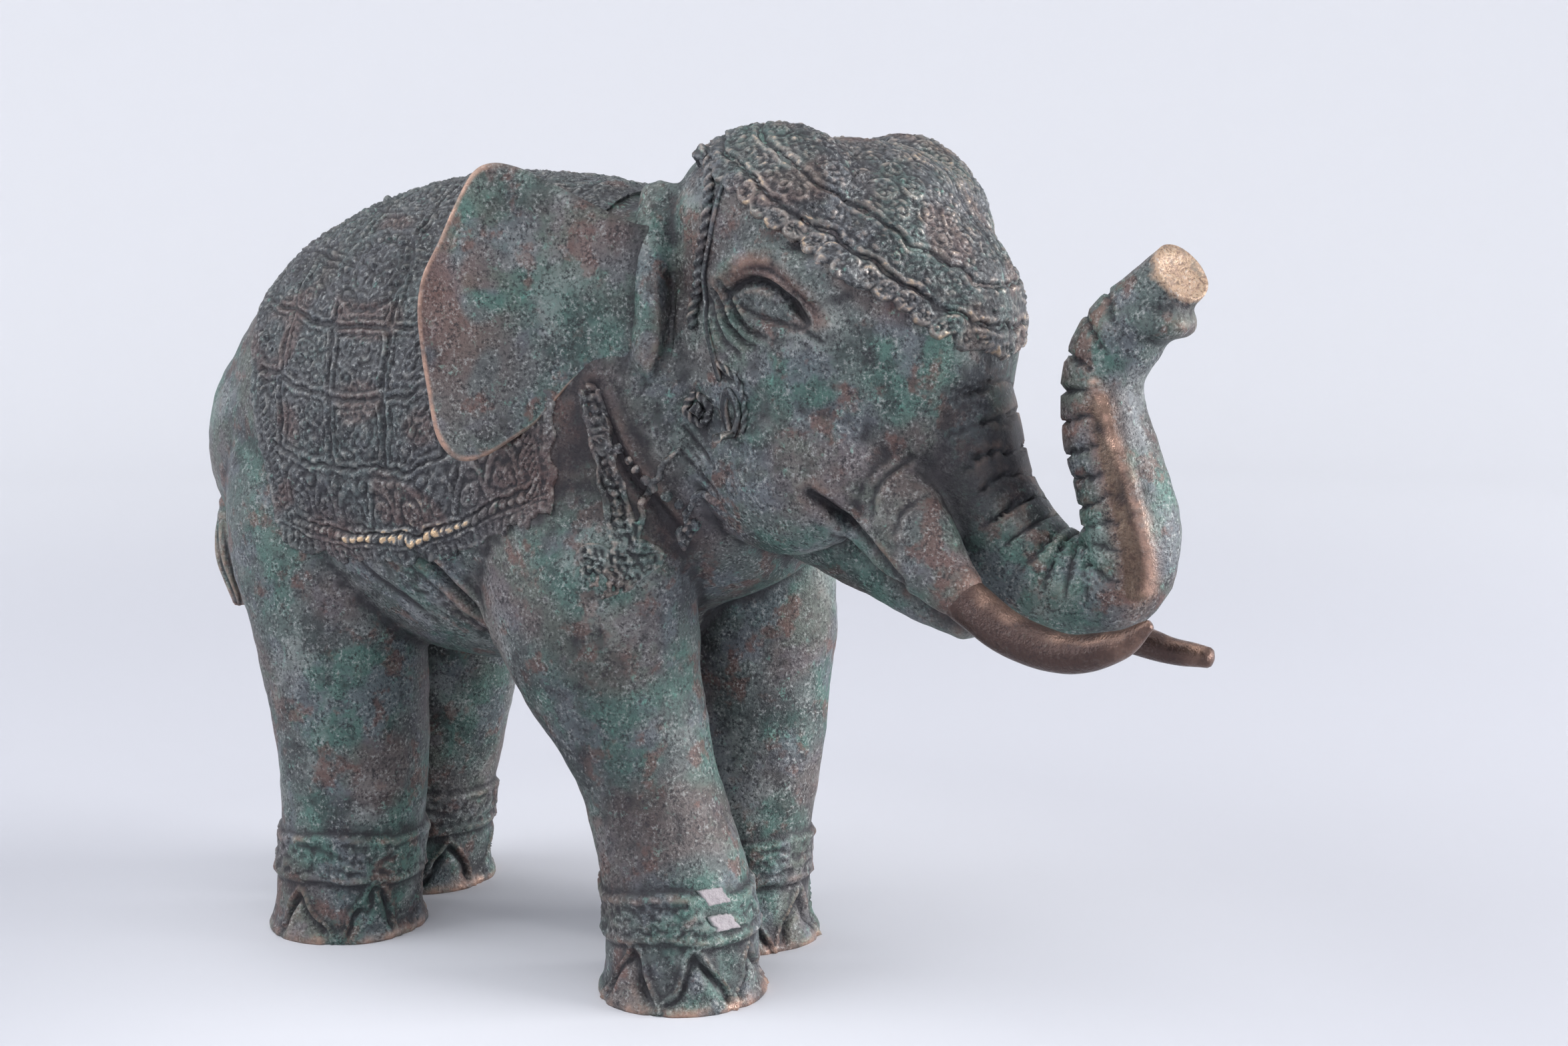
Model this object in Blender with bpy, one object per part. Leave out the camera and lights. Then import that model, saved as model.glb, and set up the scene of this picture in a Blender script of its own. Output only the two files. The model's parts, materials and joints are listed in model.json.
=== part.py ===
"""Cast bronze elephant with a raised trunk, a saddle cloth and an ornamented head cap.

The figure is one hollow casting, modelled here as one closed solid in metres, +Z up.
It faces -Y, its left side is +X, and it stands with its four soles on Z = 0.
The sculptor's grid divides the height of the figure into 190 parts. The tables below give
the pose and the proportions in those parts, measured from the middle between the four feet.
"""

import math

import bmesh
import bpy
import numpy as np

# Driving sizes, in metres
HEIGHT = 0.190
EAR_THICKNESS = 0.0028
CLOTH_THICKNESS = 0.0012
CLOTH_BORDER = 0.0035
CAP_THICKNESS = 0.0010
ANKLET_THICKNESS = 0.0011
ANKLET_WIDTH = 0.0105
TOENAIL_RELIEF = 0.0012
TUSK_DIAMETER = 0.0088
TAIL_DIAMETER = 0.0056
TRUNK_RING_DEPTH = 0.0012
MOUTH_DEPTH = 0.0022

# The sculptor's grid
GRID_PARTS = 190
PART = HEIGHT / GRID_PARTS

# Fineness of the working mesh, in grid parts, and the triangles that the fused body keeps
VOXEL = 1.2
SMOOTHING = 12
CARVED_SMOOTHING = 1
BODY_TRIANGLES = 6400

# Stations of the round forms: x, y, z of the middle, half width across, half depth
BODY = (
    (0, -62, 120, 30, 35),
    (0, -47, 123, 37, 45),
    (0, -28, 123.5, 41.5, 52.5),
    (0, -8, 123.5, 44, 56),
    (0, 14, 122.8, 45, 56.2),
    (0, 32, 120.5, 43.5, 53.3),
    (0, 47, 117.2, 40.5, 48.2),
    (0, 60, 113.5, 35.5, 41),
    (0, 71.5, 110, 31, 33),
    (0, 80.5, 106.5, 24.5, 25.5),
    (0, 87.5, 103.5, 17, 18),
    (0, 92.5, 101, 9, 12),
)
NECK = (
    (0, -22, 130, 34, 42),
    (0, -44, 139, 31, 37),
    (0, -62, 144, 29, 36),
)
SKULL = (
    (0, -50, 147, 29, 30),
    (0, -60, 145, 32, 38),
    (0, -72, 143, 33.5, 42.5),
    (0, -84, 141, 32.5, 43),
    (0, -95, 138, 29, 38.5),
    (0, -104, 136, 24, 30.5),
)
TRUNK = (
    (0, -88, 150, 22, 20),
    (0, -97, 138, 19.5, 19),
    (0, -104.5, 124.5, 16.5, 15.5),
    (0, -112, 110.5, 14, 12),
    (0, -121.5, 99.5, 12, 11),
    (0, -132.5, 94, 10.7, 10.4),
    (0, -142.6, 95.5, 9.9, 9.7),
    (0, -145.2, 106, 9.6, 9.9),
    (0, -142.3, 118, 9, 9.2),
    (0, -138.8, 129, 8.4, 8.5),
    (0, -138.6, 137.5, 8, 8),
    (0, -142.8, 145.5, 8.6, 9),
    (0, -148.3, 152, 7.6, 7.8),
    (0, -152.8, 157, 6.4, 6.6),
)
JAW = (
    (0, -66, 112, 20, 14),
    (0, -85, 101.5, 15, 11),
    (0, -100, 91.5, 11, 7.5),
    (0, -111, 84.5, 8, 4.2),
)
NEAR_HIND_LEG = (
    (-20, 50, 118, 18, 25),
    (-21, 50, 97, 20, 24.5),
    (-20.5, 46.5, 78, 20, 22),
    (-20, 44.5, 60, 19, 19.5),
    (-19.5, 43.5, 43, 18, 18),
    (-19.5, 44.1, 27, 17.1, 17.2),
    (-19.7, 45.5, 12, 17.1, 17.4),
    (-19.8, 46.2, 5, 17.2, 17.6),
    (-19.8, 46.4, 1, 18, 18.4),
    (-19.8, 46.4, -4, 18, 18.4),
)
FAR_HIND_LEG = (
    (20, 50, 118, 18, 25),
    (21, 51, 97, 20, 25),
    (20.5, 50, 78, 20, 25),
    (20, 49, 60, 19, 22),
    (19.5, 50, 43, 18, 18.5),
    (19.5, 52.6, 27, 17.1, 17.2),
    (19.7, 54.6, 12, 17.1, 17.4),
    (19.8, 55.6, 5, 17.2, 17.6),
    (19.8, 55.8, 1, 18, 18.4),
    (19.8, 55.8, -4, 18, 18.4),
)
NEAR_FRONT_LEG = (
    (-21, -27, 112, 19, 28),
    (-24, -29, 90, 19.5, 26),
    (-22.5, -33.5, 72, 19, 21.5),
    (-21.5, -38, 60, 17, 17.5),
    (-20.5, -42, 48, 15.6, 15.3),
    (-20, -45.5, 36, 15.6, 15.4),
    (-20, -48.6, 25, 16.2, 16.2),
    (-19.3, -49.8, 12, 16.8, 17),
    (-19.3, -49.7, 5, 17, 17),
    (-19.3, -49.7, 1, 18.2, 18.2),
    (-19.3, -49.7, -4, 18.2, 18.2),
)
FAR_FRONT_LEG = (
    (21, -33, 112, 19, 28),
    (23, -38, 90, 19.5, 25),
    (22, -42.8, 72, 19, 22),
    (21.5, -45, 60, 17, 18),
    (21, -45.6, 48, 15.6, 16),
    (21, -43.8, 36, 15.6, 15.6),
    (21, -41.5, 25, 16.2, 16.2),
    (21, -40.6, 12, 16.8, 17),
    (21, -40.8, 5, 17, 17),
    (21, -41, 1, 18.2, 18.2),
    (21, -41, -4, 18.2, 18.2),
)
TUSK_SHEATH = (
    (-15, -91, 118, 9, 11),
    (-18.5, -104, 106, 8, 9.5),
    (-20.5, -113, 97.5, 6, 7),
    (-21.3, -118, 93.8, 4.8, 5.2),
)
EAR_FOLD = (
    (-31.5, -54, 166, 3, 4),
    (-33, -53, 151, 4, 5),
    (-32.5, -52, 138, 4, 5),
)
# Route and thickness of the tusks and the tail: x, y, z, share of the full thickness
NEAR_TUSK = (
    (-18.5, -107, 102, 1.1),
    (-21, -119, 92.5, 1.05),
    (-22.3, -130, 86.5, 1.0),
    (-23, -141, 84.5, 0.9),
    (-23.3, -151, 87, 0.68),
    (-23, -157.5, 91.5, 0.3),
)
FAR_TUSK = (
    (18.5, -107, 101, 1.1),
    (21, -120, 90, 1.05),
    (22, -132, 82.5, 0.98),
    (22.5, -144, 78.5, 0.86),
    (22.5, -154, 77.4, 0.62),
)
TAIL = (
    (0, 67, 150.5, 0.8),
    (0, 77, 139.5, 1.0),
    (0, 87.5, 126, 1.0),
    (0, 96, 111, 0.95),
    (-1, 99.2, 98, 1.1),
    (-2, 98.2, 85, 1.5),
    (-3, 95, 73, 0.7),
)
# Round swellings: x, y, z of the middle, and the three half sizes
SWELLINGS = (
    (-17.5, -72, 164, 17.5, 24, 24),
    (18, -83.5, 163, 17, 21, 24),
    (-27, -86, 157, 7.5, 12, 6),
    (27, -88, 157, 7.5, 12, 6),
    (0, -101.5, 149, 15, 14, 15),
    (-20, -77, 121, 13, 23, 22),
    (20, -77, 121, 13, 23, 22),
)

# The ear: its root, how far it stands out, and its outline as distance along it and height
EAR_ROOT = (-33, -50)
EAR_SPREAD = math.radians(30)
EAR_LENGTH = 46
EAR_CUP = 4.0
EAR_LIP = 2.5
EAR_OUTLINE = (
    (-9, 163),
    (12, 173),
    (29, 180),
    (36, 177),
    (43, 162),
    (46, 148),
    (44.6, 132),
    (38.5, 118.6),
    (24, 125.5),
    (12, 137),
    (-9, 141),
)

# Carving, in grid parts. RIDGE is how much higher a border stands than the face beside it.
RIDGE = 0.4
# The hem of the saddle cloth, by distance along the body and height
CLOTH_HEM = ((-36, 104), (-5, 96), (18, 91), (45, 95), (70, 102))
CLOTH_FRONT = -33
CLOTH_REAR = 46
CLOTH_REAR_LEAN = 0.3
# The head cap: where its edge starts at the back of the head, and how it falls to the trunk
CAP_BACK = -57
CAP_TIP = -122
CAP_EDGE_START = (-62, 180)
CAP_EDGE_FALL = 0.72
CAP_BORDER = 3
ANKLET_BOTTOM = 14.5
NAIL_TOP = 10
NAIL_ANGLES = (-66, -22, 22, 66)
NAIL_HALF_ANGLE = 19
FEET = ((-19.8, 46.4), (19.8, 55.8), (-19.3, -49.7), (21, -41))
FOOT_REACH = 24
EYE = (-80.5, 151.5)
EYE_HALF_LENGTH = 6.0
EYE_HALF_HEIGHT = 3.2
EYE_TILT = math.radians(28)
EYE_BULGE = 0.9
EYE_RING_DEPTH = 1.3
EYELID = 0.7
EYE_SIDE = 20
MOUTH = ((-86, 109), (-97, 100), (-106, 92), (-112, 87.5))
MOUTH_SIDE = 5
MOUTH_WIDTH = 1.5
TRUNK_FRONT = -100
TRUNK_RING_PITCH = 4.6
TRUNK_RINGS_FROM = 0.3
TRUNK_RINGS_TO = 0.86


def through(stations, count):
    """A smooth row of values through the stations, evenly spread along them."""
    rows = np.asarray(stations, float)
    place = np.linspace(0, len(rows) - 1, count)
    first = np.clip(place.astype(int), 0, len(rows) - 2)
    part = (place - first)[:, None]
    padded = np.vstack([2 * rows[0] - rows[1], rows, 2 * rows[-1] - rows[-2]])
    p0, p1, p2, p3 = (padded[first + k] for k in range(4))
    bend = 2 * p0 - 5 * p1 + 4 * p2 - p3
    twist = 3 * p1 - p0 - 3 * p2 + p3
    return 0.5 * (2 * p1 + (p2 - p0) * part + bend * part**2 + twist * part**3)


def unit(vectors):
    return vectors / np.linalg.norm(vectors, axis=-1, keepdims=True)


def new_object(name, mesh):
    piece = bpy.data.objects.new(name, mesh)
    bpy.context.scene.collection.objects.link(piece)
    return piece


def from_bmesh(name, made):
    """An object with this bmesh, its faces turned outwards."""
    bmesh.ops.recalc_face_normals(made, faces=made.faces)
    mesh = bpy.data.meshes.new(name)
    made.to_mesh(mesh)
    made.free()
    return new_object(name, mesh)


def from_rings(name, rings, poles):
    """A closed form made of rings of points in grid parts, with one more point at each end."""
    made = bmesh.new()
    rows = [[made.verts.new(point * PART) for point in ring] for ring in rings]
    start, end = (made.verts.new(pole * PART) for pole in poles)
    sides = len(rows[0])
    for low, high in zip(rows, rows[1:]):
        for side in range(sides):
            after = (side + 1) % sides
            made.faces.new((low[side], low[after], high[after], high[side]))
    for side in range(sides):
        after = (side + 1) % sides
        made.faces.new((start, rows[0][after], rows[0][side]))
        made.faces.new((end, rows[-1][side], rows[-1][after]))
    return from_bmesh(name, made)


def carried(stations, steps):
    """The middle line, half sizes and three directions along a form."""
    rows = through(stations, steps)
    middle, half = rows[:, :3], rows[:, 3:5]
    ahead = unit(np.gradient(middle, axis=0))
    across = unit(np.array([1.0, 0, 0]) - ahead[:, :1] * ahead)
    return middle, half, ahead, across, np.cross(ahead, across)


def round_form(name, stations, sides=40, steps=44, fullness=2.0):
    """Rings carried along a smooth middle line, with domed ends."""
    middle, half, ahead, across, upward = carried(stations, steps)
    angle = np.linspace(0, 2 * math.pi, sides, endpoint=False)
    cosine, sine = np.cos(angle), np.sin(angle)
    wide = (np.sign(cosine) * np.abs(cosine) ** (2 / fullness))[:, None]
    deep = (np.sign(sine) * np.abs(sine) ** (2 / fullness))[:, None]

    def ring(at, share, push):
        spread = wide * across[at] * half[at, 0] + deep * upward[at] * half[at, 1]
        return middle[at] + spread * share + ahead[at] * push

    dome = (math.radians(66), math.radians(36))
    start_depth, end_depth = half[0].min() / 2, half[-1].min() / 2
    rings = [ring(0, math.cos(turn), -start_depth * math.sin(turn)) for turn in dome]
    rings += [ring(at, 1, 0) for at in range(steps)]
    rings += [ring(-1, math.cos(turn), end_depth * math.sin(turn)) for turn in reversed(dome)]
    poles = (middle[0] - ahead[0] * start_depth, middle[-1] + ahead[-1] * end_depth)
    return from_rings(name, rings, poles)


def cord_form(name, route, diameter, sides, steps):
    """A round cord of changing thickness along a route."""
    radius = diameter / 2 / PART
    stations = [(x, y, z, radius * share, radius * share) for x, y, z, share in route]
    return round_form(name, stations, sides, steps)


def swelling(name, x, y, z, half_x, half_y, half_z):
    """A ball, stretched to its three half sizes."""
    made = bmesh.new()
    bmesh.ops.create_icosphere(made, subdivisions=4, radius=PART)
    bmesh.ops.scale(made, vec=(half_x, half_y, half_z), verts=made.verts)
    bmesh.ops.translate(made, vec=(x * PART, y * PART, z * PART), verts=made.verts)
    return from_bmesh(name, made)


def ear(name, side):
    """A cupped leaf with a round rim: two layers of rings, from the middle out to the outline."""
    per_span = 4
    knots = np.array(EAR_OUTLINE[-1:] + EAR_OUTLINE + EAR_OUTLINE[:2], float)
    spans = len(knots) - 1
    outline = through(knots, spans * per_span + 1)[per_span:-2 * per_span]
    centre = outline.mean(axis=0)
    share = np.array([0.15, 0.4, 0.65, 0.85, 0.95, 0.99])[:, None]
    flat = centre + share[..., None] * (outline - centre)
    along, height = flat[..., 0], flat[..., 1]
    reach = np.clip(along / EAR_LENGTH, 0, 1)
    lobe, top = min(knots[:, 1]), max(knots[:, 1])
    dish = EAR_LIP * np.clip(4 * reach - 3, 0, 1) - EAR_CUP * np.sin(math.pi * reach)
    dish = dish + EAR_LIP / 2 * np.sin(math.pi * (height - lobe) / (top - lobe))
    half = EAR_THICKNESS / 2 / PART * np.sqrt(1 - share**8)
    out, back = math.sin(EAR_SPREAD), math.cos(EAR_SPREAD)

    def layer(offset):
        face = dish + offset
        x = EAR_ROOT[0] - along * out - face * back
        y = EAR_ROOT[1] + along * back - face * out
        return np.stack([x * side, y, height], axis=-1)

    front, rear = layer(half), layer(-half)
    poles = (front[0].mean(axis=0), rear[0].mean(axis=0))
    return from_rings(name, [*front, *rear[::-1]], poles)


def mirrored(stations):
    return tuple((-row[0], *row[1:]) for row in stations)


def apply_modifiers(piece):
    graph = bpy.context.evaluated_depsgraph_get()
    finished = bpy.data.meshes.new_from_object(piece.evaluated_get(graph))
    piece.modifiers.clear()
    piece.data = finished


def fused(name, pieces):
    """The pieces melted into one closed skin, as the wax was before casting."""
    made = bmesh.new()
    for piece in pieces:
        made.from_mesh(piece.data)
        bpy.data.objects.remove(piece)
    whole = from_bmesh(name, made)
    melt = whole.modifiers.new("Melt", "REMESH")
    melt.mode = "VOXEL"
    melt.voxel_size = VOXEL * PART
    soften = whole.modifiers.new("Soften", "SMOOTH")
    soften.iterations = SMOOTHING
    apply_modifiers(whole)
    return whole


def points_of(piece, kind="points"):
    """The vertices in grid parts, or their normals."""
    mesh = piece.data
    values = np.empty(len(mesh.vertices) * 3, np.float32)
    if kind == "normals":
        mesh.vertex_normals.foreach_get("vector", values)
        return values.reshape(-1, 3).astype(float)
    mesh.vertices.foreach_get("co", values)
    return values.reshape(-1, 3).astype(float) / PART


def move_points(piece, points):
    piece.data.vertices.foreach_set("co", (points * PART).astype(np.float32).ravel())
    piece.data.update()


def rise(value, width=1.6):
    """0 where the value is negative and 1 where it is positive, with a slope of this width."""
    slope = np.clip(value / width + 0.5, 0, 1)
    return slope * slope * (3 - 2 * slope)


def bump(distance, width):
    """1 at no distance, fading to 0 over about this width."""
    return np.exp(-((distance / width) ** 2))


def cloth_relief(points):
    """The saddle cloth stands proud of the back and flanks, with a thicker border."""
    y, z = points[:, 1], points[:, 2]
    hem = np.interp(y, *zip(*CLOTH_HEM))
    rear = CLOTH_REAR + CLOTH_REAR_LEAN * (z - hem)
    inside = np.minimum(np.minimum(z - hem, rear - y), y - CLOTH_FRONT)
    border = CLOTH_BORDER / PART
    raised = rise(inside) * (1 + RIDGE * bump(inside - border / 2, border / 2))
    return CLOTH_THICKNESS / PART * raised


def cap_relief(points):
    """The head cap stands proud above a slanting edge that falls towards the trunk."""
    y, z = points[:, 1], points[:, 2]
    edge = CAP_EDGE_START[1] + CAP_EDGE_FALL * np.minimum(y - CAP_EDGE_START[0], 0)
    inside = np.minimum(z - edge, CAP_BACK - y)
    raised = rise(inside) * (1 + RIDGE * bump(inside - CAP_BORDER / 2, CAP_BORDER / 2))
    return CAP_THICKNESS / PART * raised * rise(y - CAP_TIP)


def foot_relief(points):
    """Anklet bands and four toenails on the front of each foot."""
    x, y, z = points.T
    width = ANKLET_WIDTH / PART
    relief = ANKLET_THICKNESS / PART * rise(z - ANKLET_BOTTOM) * rise(ANKLET_BOTTOM + width - z)
    for foot_x, foot_y in FEET:
        near = np.hypot(x - foot_x, y - foot_y) < FOOT_REACH
        turn = np.degrees(np.arctan2(x - foot_x, foot_y - y))
        for angle in NAIL_ANGLES:
            arch = 1 - ((turn - angle) / NAIL_HALF_ANGLE) ** 2
            nail = rise(arch * NAIL_TOP - z, 2.5) * near * (arch > 0)
            relief = relief + TOENAIL_RELIEF / PART * nail
    return relief


def eye_relief(points):
    """An almond eyeball in a sunk ring, on both sides of the head."""
    x, y, z = points.T
    along = (y - EYE[0]) * math.cos(EYE_TILT) + (z - EYE[1]) * math.sin(EYE_TILT)
    over = (z - EYE[1]) * math.cos(EYE_TILT) - (y - EYE[0]) * math.sin(EYE_TILT)
    away = np.sqrt((along / EYE_HALF_LENGTH) ** 2 + (over / EYE_HALF_HEIGHT) ** 2)
    ball, ring, lid = bump(away, 0.6), bump(away - 1.1, 0.3), bump(away - 1.7, 0.35)
    return (np.abs(x) > EYE_SIDE) * (EYE_BULGE * ball - EYE_RING_DEPTH * ring + EYELID * lid)


def mouth_relief(points):
    """A groove between the cheek and the lower lip."""
    line = through(MOUTH, 24)
    away = np.sqrt(((points[:, None, 1:] - line) ** 2).sum(axis=-1)).min(axis=1)
    return -MOUTH_DEPTH / PART * bump(away, MOUTH_WIDTH) * (np.abs(points[:, 0]) > MOUTH_SIDE)


def trunk_relief(points, normals):
    """Notches across the inner side of the trunk."""
    middle, _, _, _, upward = carried(TRUNK, 160)
    length = np.concatenate([[0], np.cumsum(np.linalg.norm(np.diff(middle, axis=0), axis=1))])
    apart = ((points[:, None, :] - middle) ** 2).sum(axis=-1)
    nearest = apart.argmin(axis=1)
    place = nearest / (len(middle) - 1)
    inner = np.sum(normals * upward[nearest], axis=1)
    swing = np.abs(np.sin(math.pi * length[nearest] / TRUNK_RING_PITCH))
    on_trunk = rise(place - TRUNK_RINGS_FROM, 0.06) * rise(TRUNK_RINGS_TO - place, 0.04)
    on_trunk = on_trunk * (points[:, 1] < TRUNK_FRONT)
    return -TRUNK_RING_DEPTH / PART * bump(swing, 0.45) * rise(inner - 0.15, 0.5) * on_trunk


def build_body():
    """Trunk, head, body and legs as one carved skin."""
    forms = [
        round_form("body", BODY, 56, 60, 2.2),
        round_form("neck", NECK),
        round_form("skull", SKULL, 48, 40, 2.2),
        round_form("trunk", TRUNK, 32, 90),
        round_form("jaw", JAW),
        round_form("near_hind_leg", NEAR_HIND_LEG),
        round_form("far_hind_leg", FAR_HIND_LEG),
        round_form("near_front_leg", NEAR_FRONT_LEG),
        round_form("far_front_leg", FAR_FRONT_LEG),
        round_form("near_sheath", TUSK_SHEATH, 24, 24),
        round_form("far_sheath", mirrored(TUSK_SHEATH), 24, 24),
        round_form("near_ear_fold", EAR_FOLD, 16, 20),
        round_form("far_ear_fold", mirrored(EAR_FOLD), 16, 20),
    ]
    forms += [swelling(f"swelling_{number}", *row) for number, row in enumerate(SWELLINGS)]
    body = fused("elephant", forms)
    points, normals = points_of(body), points_of(body, "normals")
    relief = cloth_relief(points) + cap_relief(points) + foot_relief(points)
    relief = relief + eye_relief(points) + mouth_relief(points) + trunk_relief(points, normals)
    move_points(body, points + normals * relief[:, None])
    soften = body.modifiers.new("Soften", "SMOOTH")
    soften.iterations = CARVED_SMOOTHING
    thin = body.modifiers.new("Thin", "DECIMATE")
    thin.ratio = BODY_TRIANGLES / (2 * len(body.data.polygons))
    apply_modifiers(body)
    cut_soles(body)
    return body


def build_thin_parts():
    """The ears, the tusks and the tail, which stay sharper than the fused skin."""
    return [
        ear("near_ear", 1),
        ear("far_ear", -1),
        cord_form("near_tusk", NEAR_TUSK, TUSK_DIAMETER, 14, 18),
        cord_form("far_tusk", FAR_TUSK, TUSK_DIAMETER, 14, 18),
        cord_form("tail", TAIL, TAIL_DIAMETER, 10, 20),
    ]


def cut_soles(body):
    """Cuts the feet off flat at the ground and closes the four soles."""
    made = bmesh.new()
    made.from_mesh(body.data)
    whole = [*made.verts, *made.edges, *made.faces]
    ground = {"plane_co": (0, 0, 0), "plane_no": (0, 0, 1)}
    bmesh.ops.bisect_plane(made, geom=whole, dist=0, clear_inner=True, **ground)
    bmesh.ops.holes_fill(made, edges=[edge for edge in made.edges if edge.is_boundary])
    made.to_mesh(body.data)
    made.free()


def join(body, thin_part):
    """A live Boolean that casts the thin part in one with the body."""
    thin_part.hide_render = True
    thin_part.display_type = "WIRE"
    boolean = body.modifiers.new(thin_part.name, "BOOLEAN")
    boolean.operation = "UNION"
    boolean.object = thin_part


def centre(pieces):
    """Moves the pieces so that the box around them all stands over the origin."""
    corners = np.vstack([points_of(piece) for piece in pieces])
    middle = (corners.min(axis=0) + corners.max(axis=0)) / 2
    middle[2] = 0
    for piece in pieces:
        move_points(piece, points_of(piece) - middle)


def bronze():
    """Dark bronze with a green patina, as one plain colour."""
    metal = bpy.data.materials.new("patinated_bronze")
    metal.use_nodes = True
    shader = metal.node_tree.nodes["Principled BSDF"]
    shader.inputs["Base Color"].default_value = (0.115, 0.15, 0.135, 1)
    shader.inputs["Metallic"].default_value = 0.7
    shader.inputs["Roughness"].default_value = 0.5
    return metal


def main():
    for old in list(bpy.data.objects):
        bpy.data.objects.remove(old)
    body = build_body()
    thin_parts = build_thin_parts()
    centre([body, *thin_parts])
    for thin_part in thin_parts:
        join(body, thin_part)
    body.data.materials.append(bronze())
    body.data.shade_smooth()


main()
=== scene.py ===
"""Bronze elephant with a saddle cloth: the fine skin, the ornament, the patina and the studio.

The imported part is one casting, and the pieces made here are that one casting's surface: the
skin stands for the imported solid, and the ornament lies on it as fine sheets.
Shapes are worked out in millimetres in the sculptor's grid, whose origin lies on the ground in
the middle between the four feet: the elephant faces -Y and its left side is +X.
"""

import json
import logging
import math
from collections.abc import Mapping, Sequence
from dataclasses import dataclass
from enum import Enum

import bmesh
import bpy
import numpy as np
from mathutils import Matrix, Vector
from numpy.typing import NDArray


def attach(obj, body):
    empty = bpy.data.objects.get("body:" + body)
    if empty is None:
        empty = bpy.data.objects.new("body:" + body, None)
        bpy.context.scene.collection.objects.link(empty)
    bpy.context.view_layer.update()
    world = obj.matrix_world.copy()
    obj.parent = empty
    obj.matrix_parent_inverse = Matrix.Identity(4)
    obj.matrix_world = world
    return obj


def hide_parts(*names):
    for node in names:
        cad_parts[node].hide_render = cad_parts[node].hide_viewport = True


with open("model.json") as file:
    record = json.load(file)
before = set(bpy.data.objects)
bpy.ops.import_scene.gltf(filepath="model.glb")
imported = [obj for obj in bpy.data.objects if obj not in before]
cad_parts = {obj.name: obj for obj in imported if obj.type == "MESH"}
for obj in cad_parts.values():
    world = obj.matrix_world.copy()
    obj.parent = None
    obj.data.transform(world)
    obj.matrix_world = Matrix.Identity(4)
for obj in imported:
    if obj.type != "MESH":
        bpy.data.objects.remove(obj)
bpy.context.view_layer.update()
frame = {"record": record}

Array = NDArray[np.float64]
Row = tuple[float, ...]
Rows = tuple[Row, ...]
Colour = tuple[float, float, float]

LOG = logging.getLogger("elephant")
MM = 0.001


class Side(Enum):
    """The two sides of the figure, as the sign of X."""

    RIGHT = -1
    LEFT = 1

    def named(self, kind: str) -> str:
        """The name of a piece of this kind on this side."""
        return f"{kind}_{self.name.lower()}"


class Trace(Enum):
    """What the painted values of a piece say about its surface."""

    # rubbed metal, and also painted highlights on the trunk's ridge, the lid and the tusks
    WEAR = "wear"
    # dark hollows, and also painted shade under the ear, in the gap under the lip and at the trunk's root
    HOLLOW = "hollow"
    ORNAMENT = "ornament"
    GREEN = "green"
    # rust, and also a painted reddish shade under the ear
    RUST = "rust"
    BRASS = "brass"
    CHIP = "chip"


# Shapes of rows of numbers


def through(stations: Sequence[Sequence[float]] | Array, count: int) -> Array:
    """A smooth row of values through the stations.

    Args:
        stations: rows of values, evenly spread along the way.
        count: how many rows to return.

    Returns:
        The values of a Catmull-Rom curve, one row for each step.
    """
    rows = np.asarray(stations, float)
    place = np.linspace(0, len(rows) - 1, count)
    first = np.clip(place.astype(int), 0, len(rows) - 2)
    part = (place - first)[:, None]
    padded = np.vstack([2 * rows[0] - rows[1], rows, 2 * rows[-1] - rows[-2]])
    p0, p1, p2, p3 = (padded[first + k] for k in range(4))
    bend = 2 * p0 - 5 * p1 + 4 * p2 - p3
    twist = 3 * p1 - p0 - 3 * p2 + p3
    return 0.5 * (2 * p1 + (p2 - p0) * part + bend * part**2 + twist * part**3)


def unit(vectors: Array) -> Array:
    """The same directions with length 1."""
    return vectors / np.maximum(np.linalg.norm(vectors, axis=-1, keepdims=True), 1e-12)


def rise(value: Array, width: float = 1.0) -> Array:
    """0 where the value is negative and 1 where it is positive, with a slope of this width."""
    slope = np.clip(value / width + 0.5, 0, 1)
    return slope * slope * (3 - 2 * slope)


def bump(distance: Array, width: float) -> Array:
    """1 at no distance, fading to 0 over about this width."""
    return np.exp(-((distance / width) ** 2))


def thread(distance: Array, half: float) -> Array:
    """The height, in millimetres, of a round thread of this half width laid on the surface."""
    return half * np.sqrt(np.clip(1 - (distance / half) ** 2, 0, 1))


def lumps(points: Array, size: float, seed: int, waves: int = 28) -> Array:
    """Smooth random unevenness, as a hand leaves it in wax.

    Args:
        points: where to work it out, any shape ending in 3, in millimetres.
        size: the usual length of a lump.
        seed: picks the waves.
        waves: how many waves in random directions are added up.

    Returns:
        Values around 0, most of them between -1 and 1.
    """
    dice = np.random.default_rng(seed)
    heading = unit(dice.normal(size=(waves, 3))) * dice.uniform(0.6, 1.5, (waves, 1))
    phase = dice.uniform(0, 2 * math.pi, waves)
    return np.sin(points @ heading.T * (2 * math.pi / size) + phase).sum(-1) / math.sqrt(waves)


def grid_quads(rows: int, columns: int, wrap: bool = False) -> NDArray[np.int64]:
    """The quads of a grid of points that is numbered row by row.

    Args:
        rows: number of rows.
        columns: number of points in a row.
        wrap: joins the last column to the first one.

    Returns:
        Four point numbers for each quad.
    """
    row = np.arange(rows - 1)[:, None]
    column = np.arange(columns if wrap else columns - 1)[None, :]
    after = (column + 1) % columns
    corners = [row * columns + column, row * columns + after]
    corners += [(row + 1) * columns + after, (row + 1) * columns + column]
    return np.stack(corners, axis=-1).reshape(-1, 4)


def evened(grid: Array, rounds: int) -> Array:
    """The grid with each inner value moved halfway to the mean of its four neighbours.

    Args:
        grid: rows and columns of values or points; its border stays.
        rounds: how often this is repeated.

    Returns:
        The softer grid.
    """
    result = grid.copy()
    for _ in range(rounds):
        around = result[:-2, 1:-1] + result[2:, 1:-1] + result[1:-1, :-2] + result[1:-1, 2:]
        result[1:-1, 1:-1] = 0.5 * result[1:-1, 1:-1] + 0.125 * around
    return result


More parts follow.
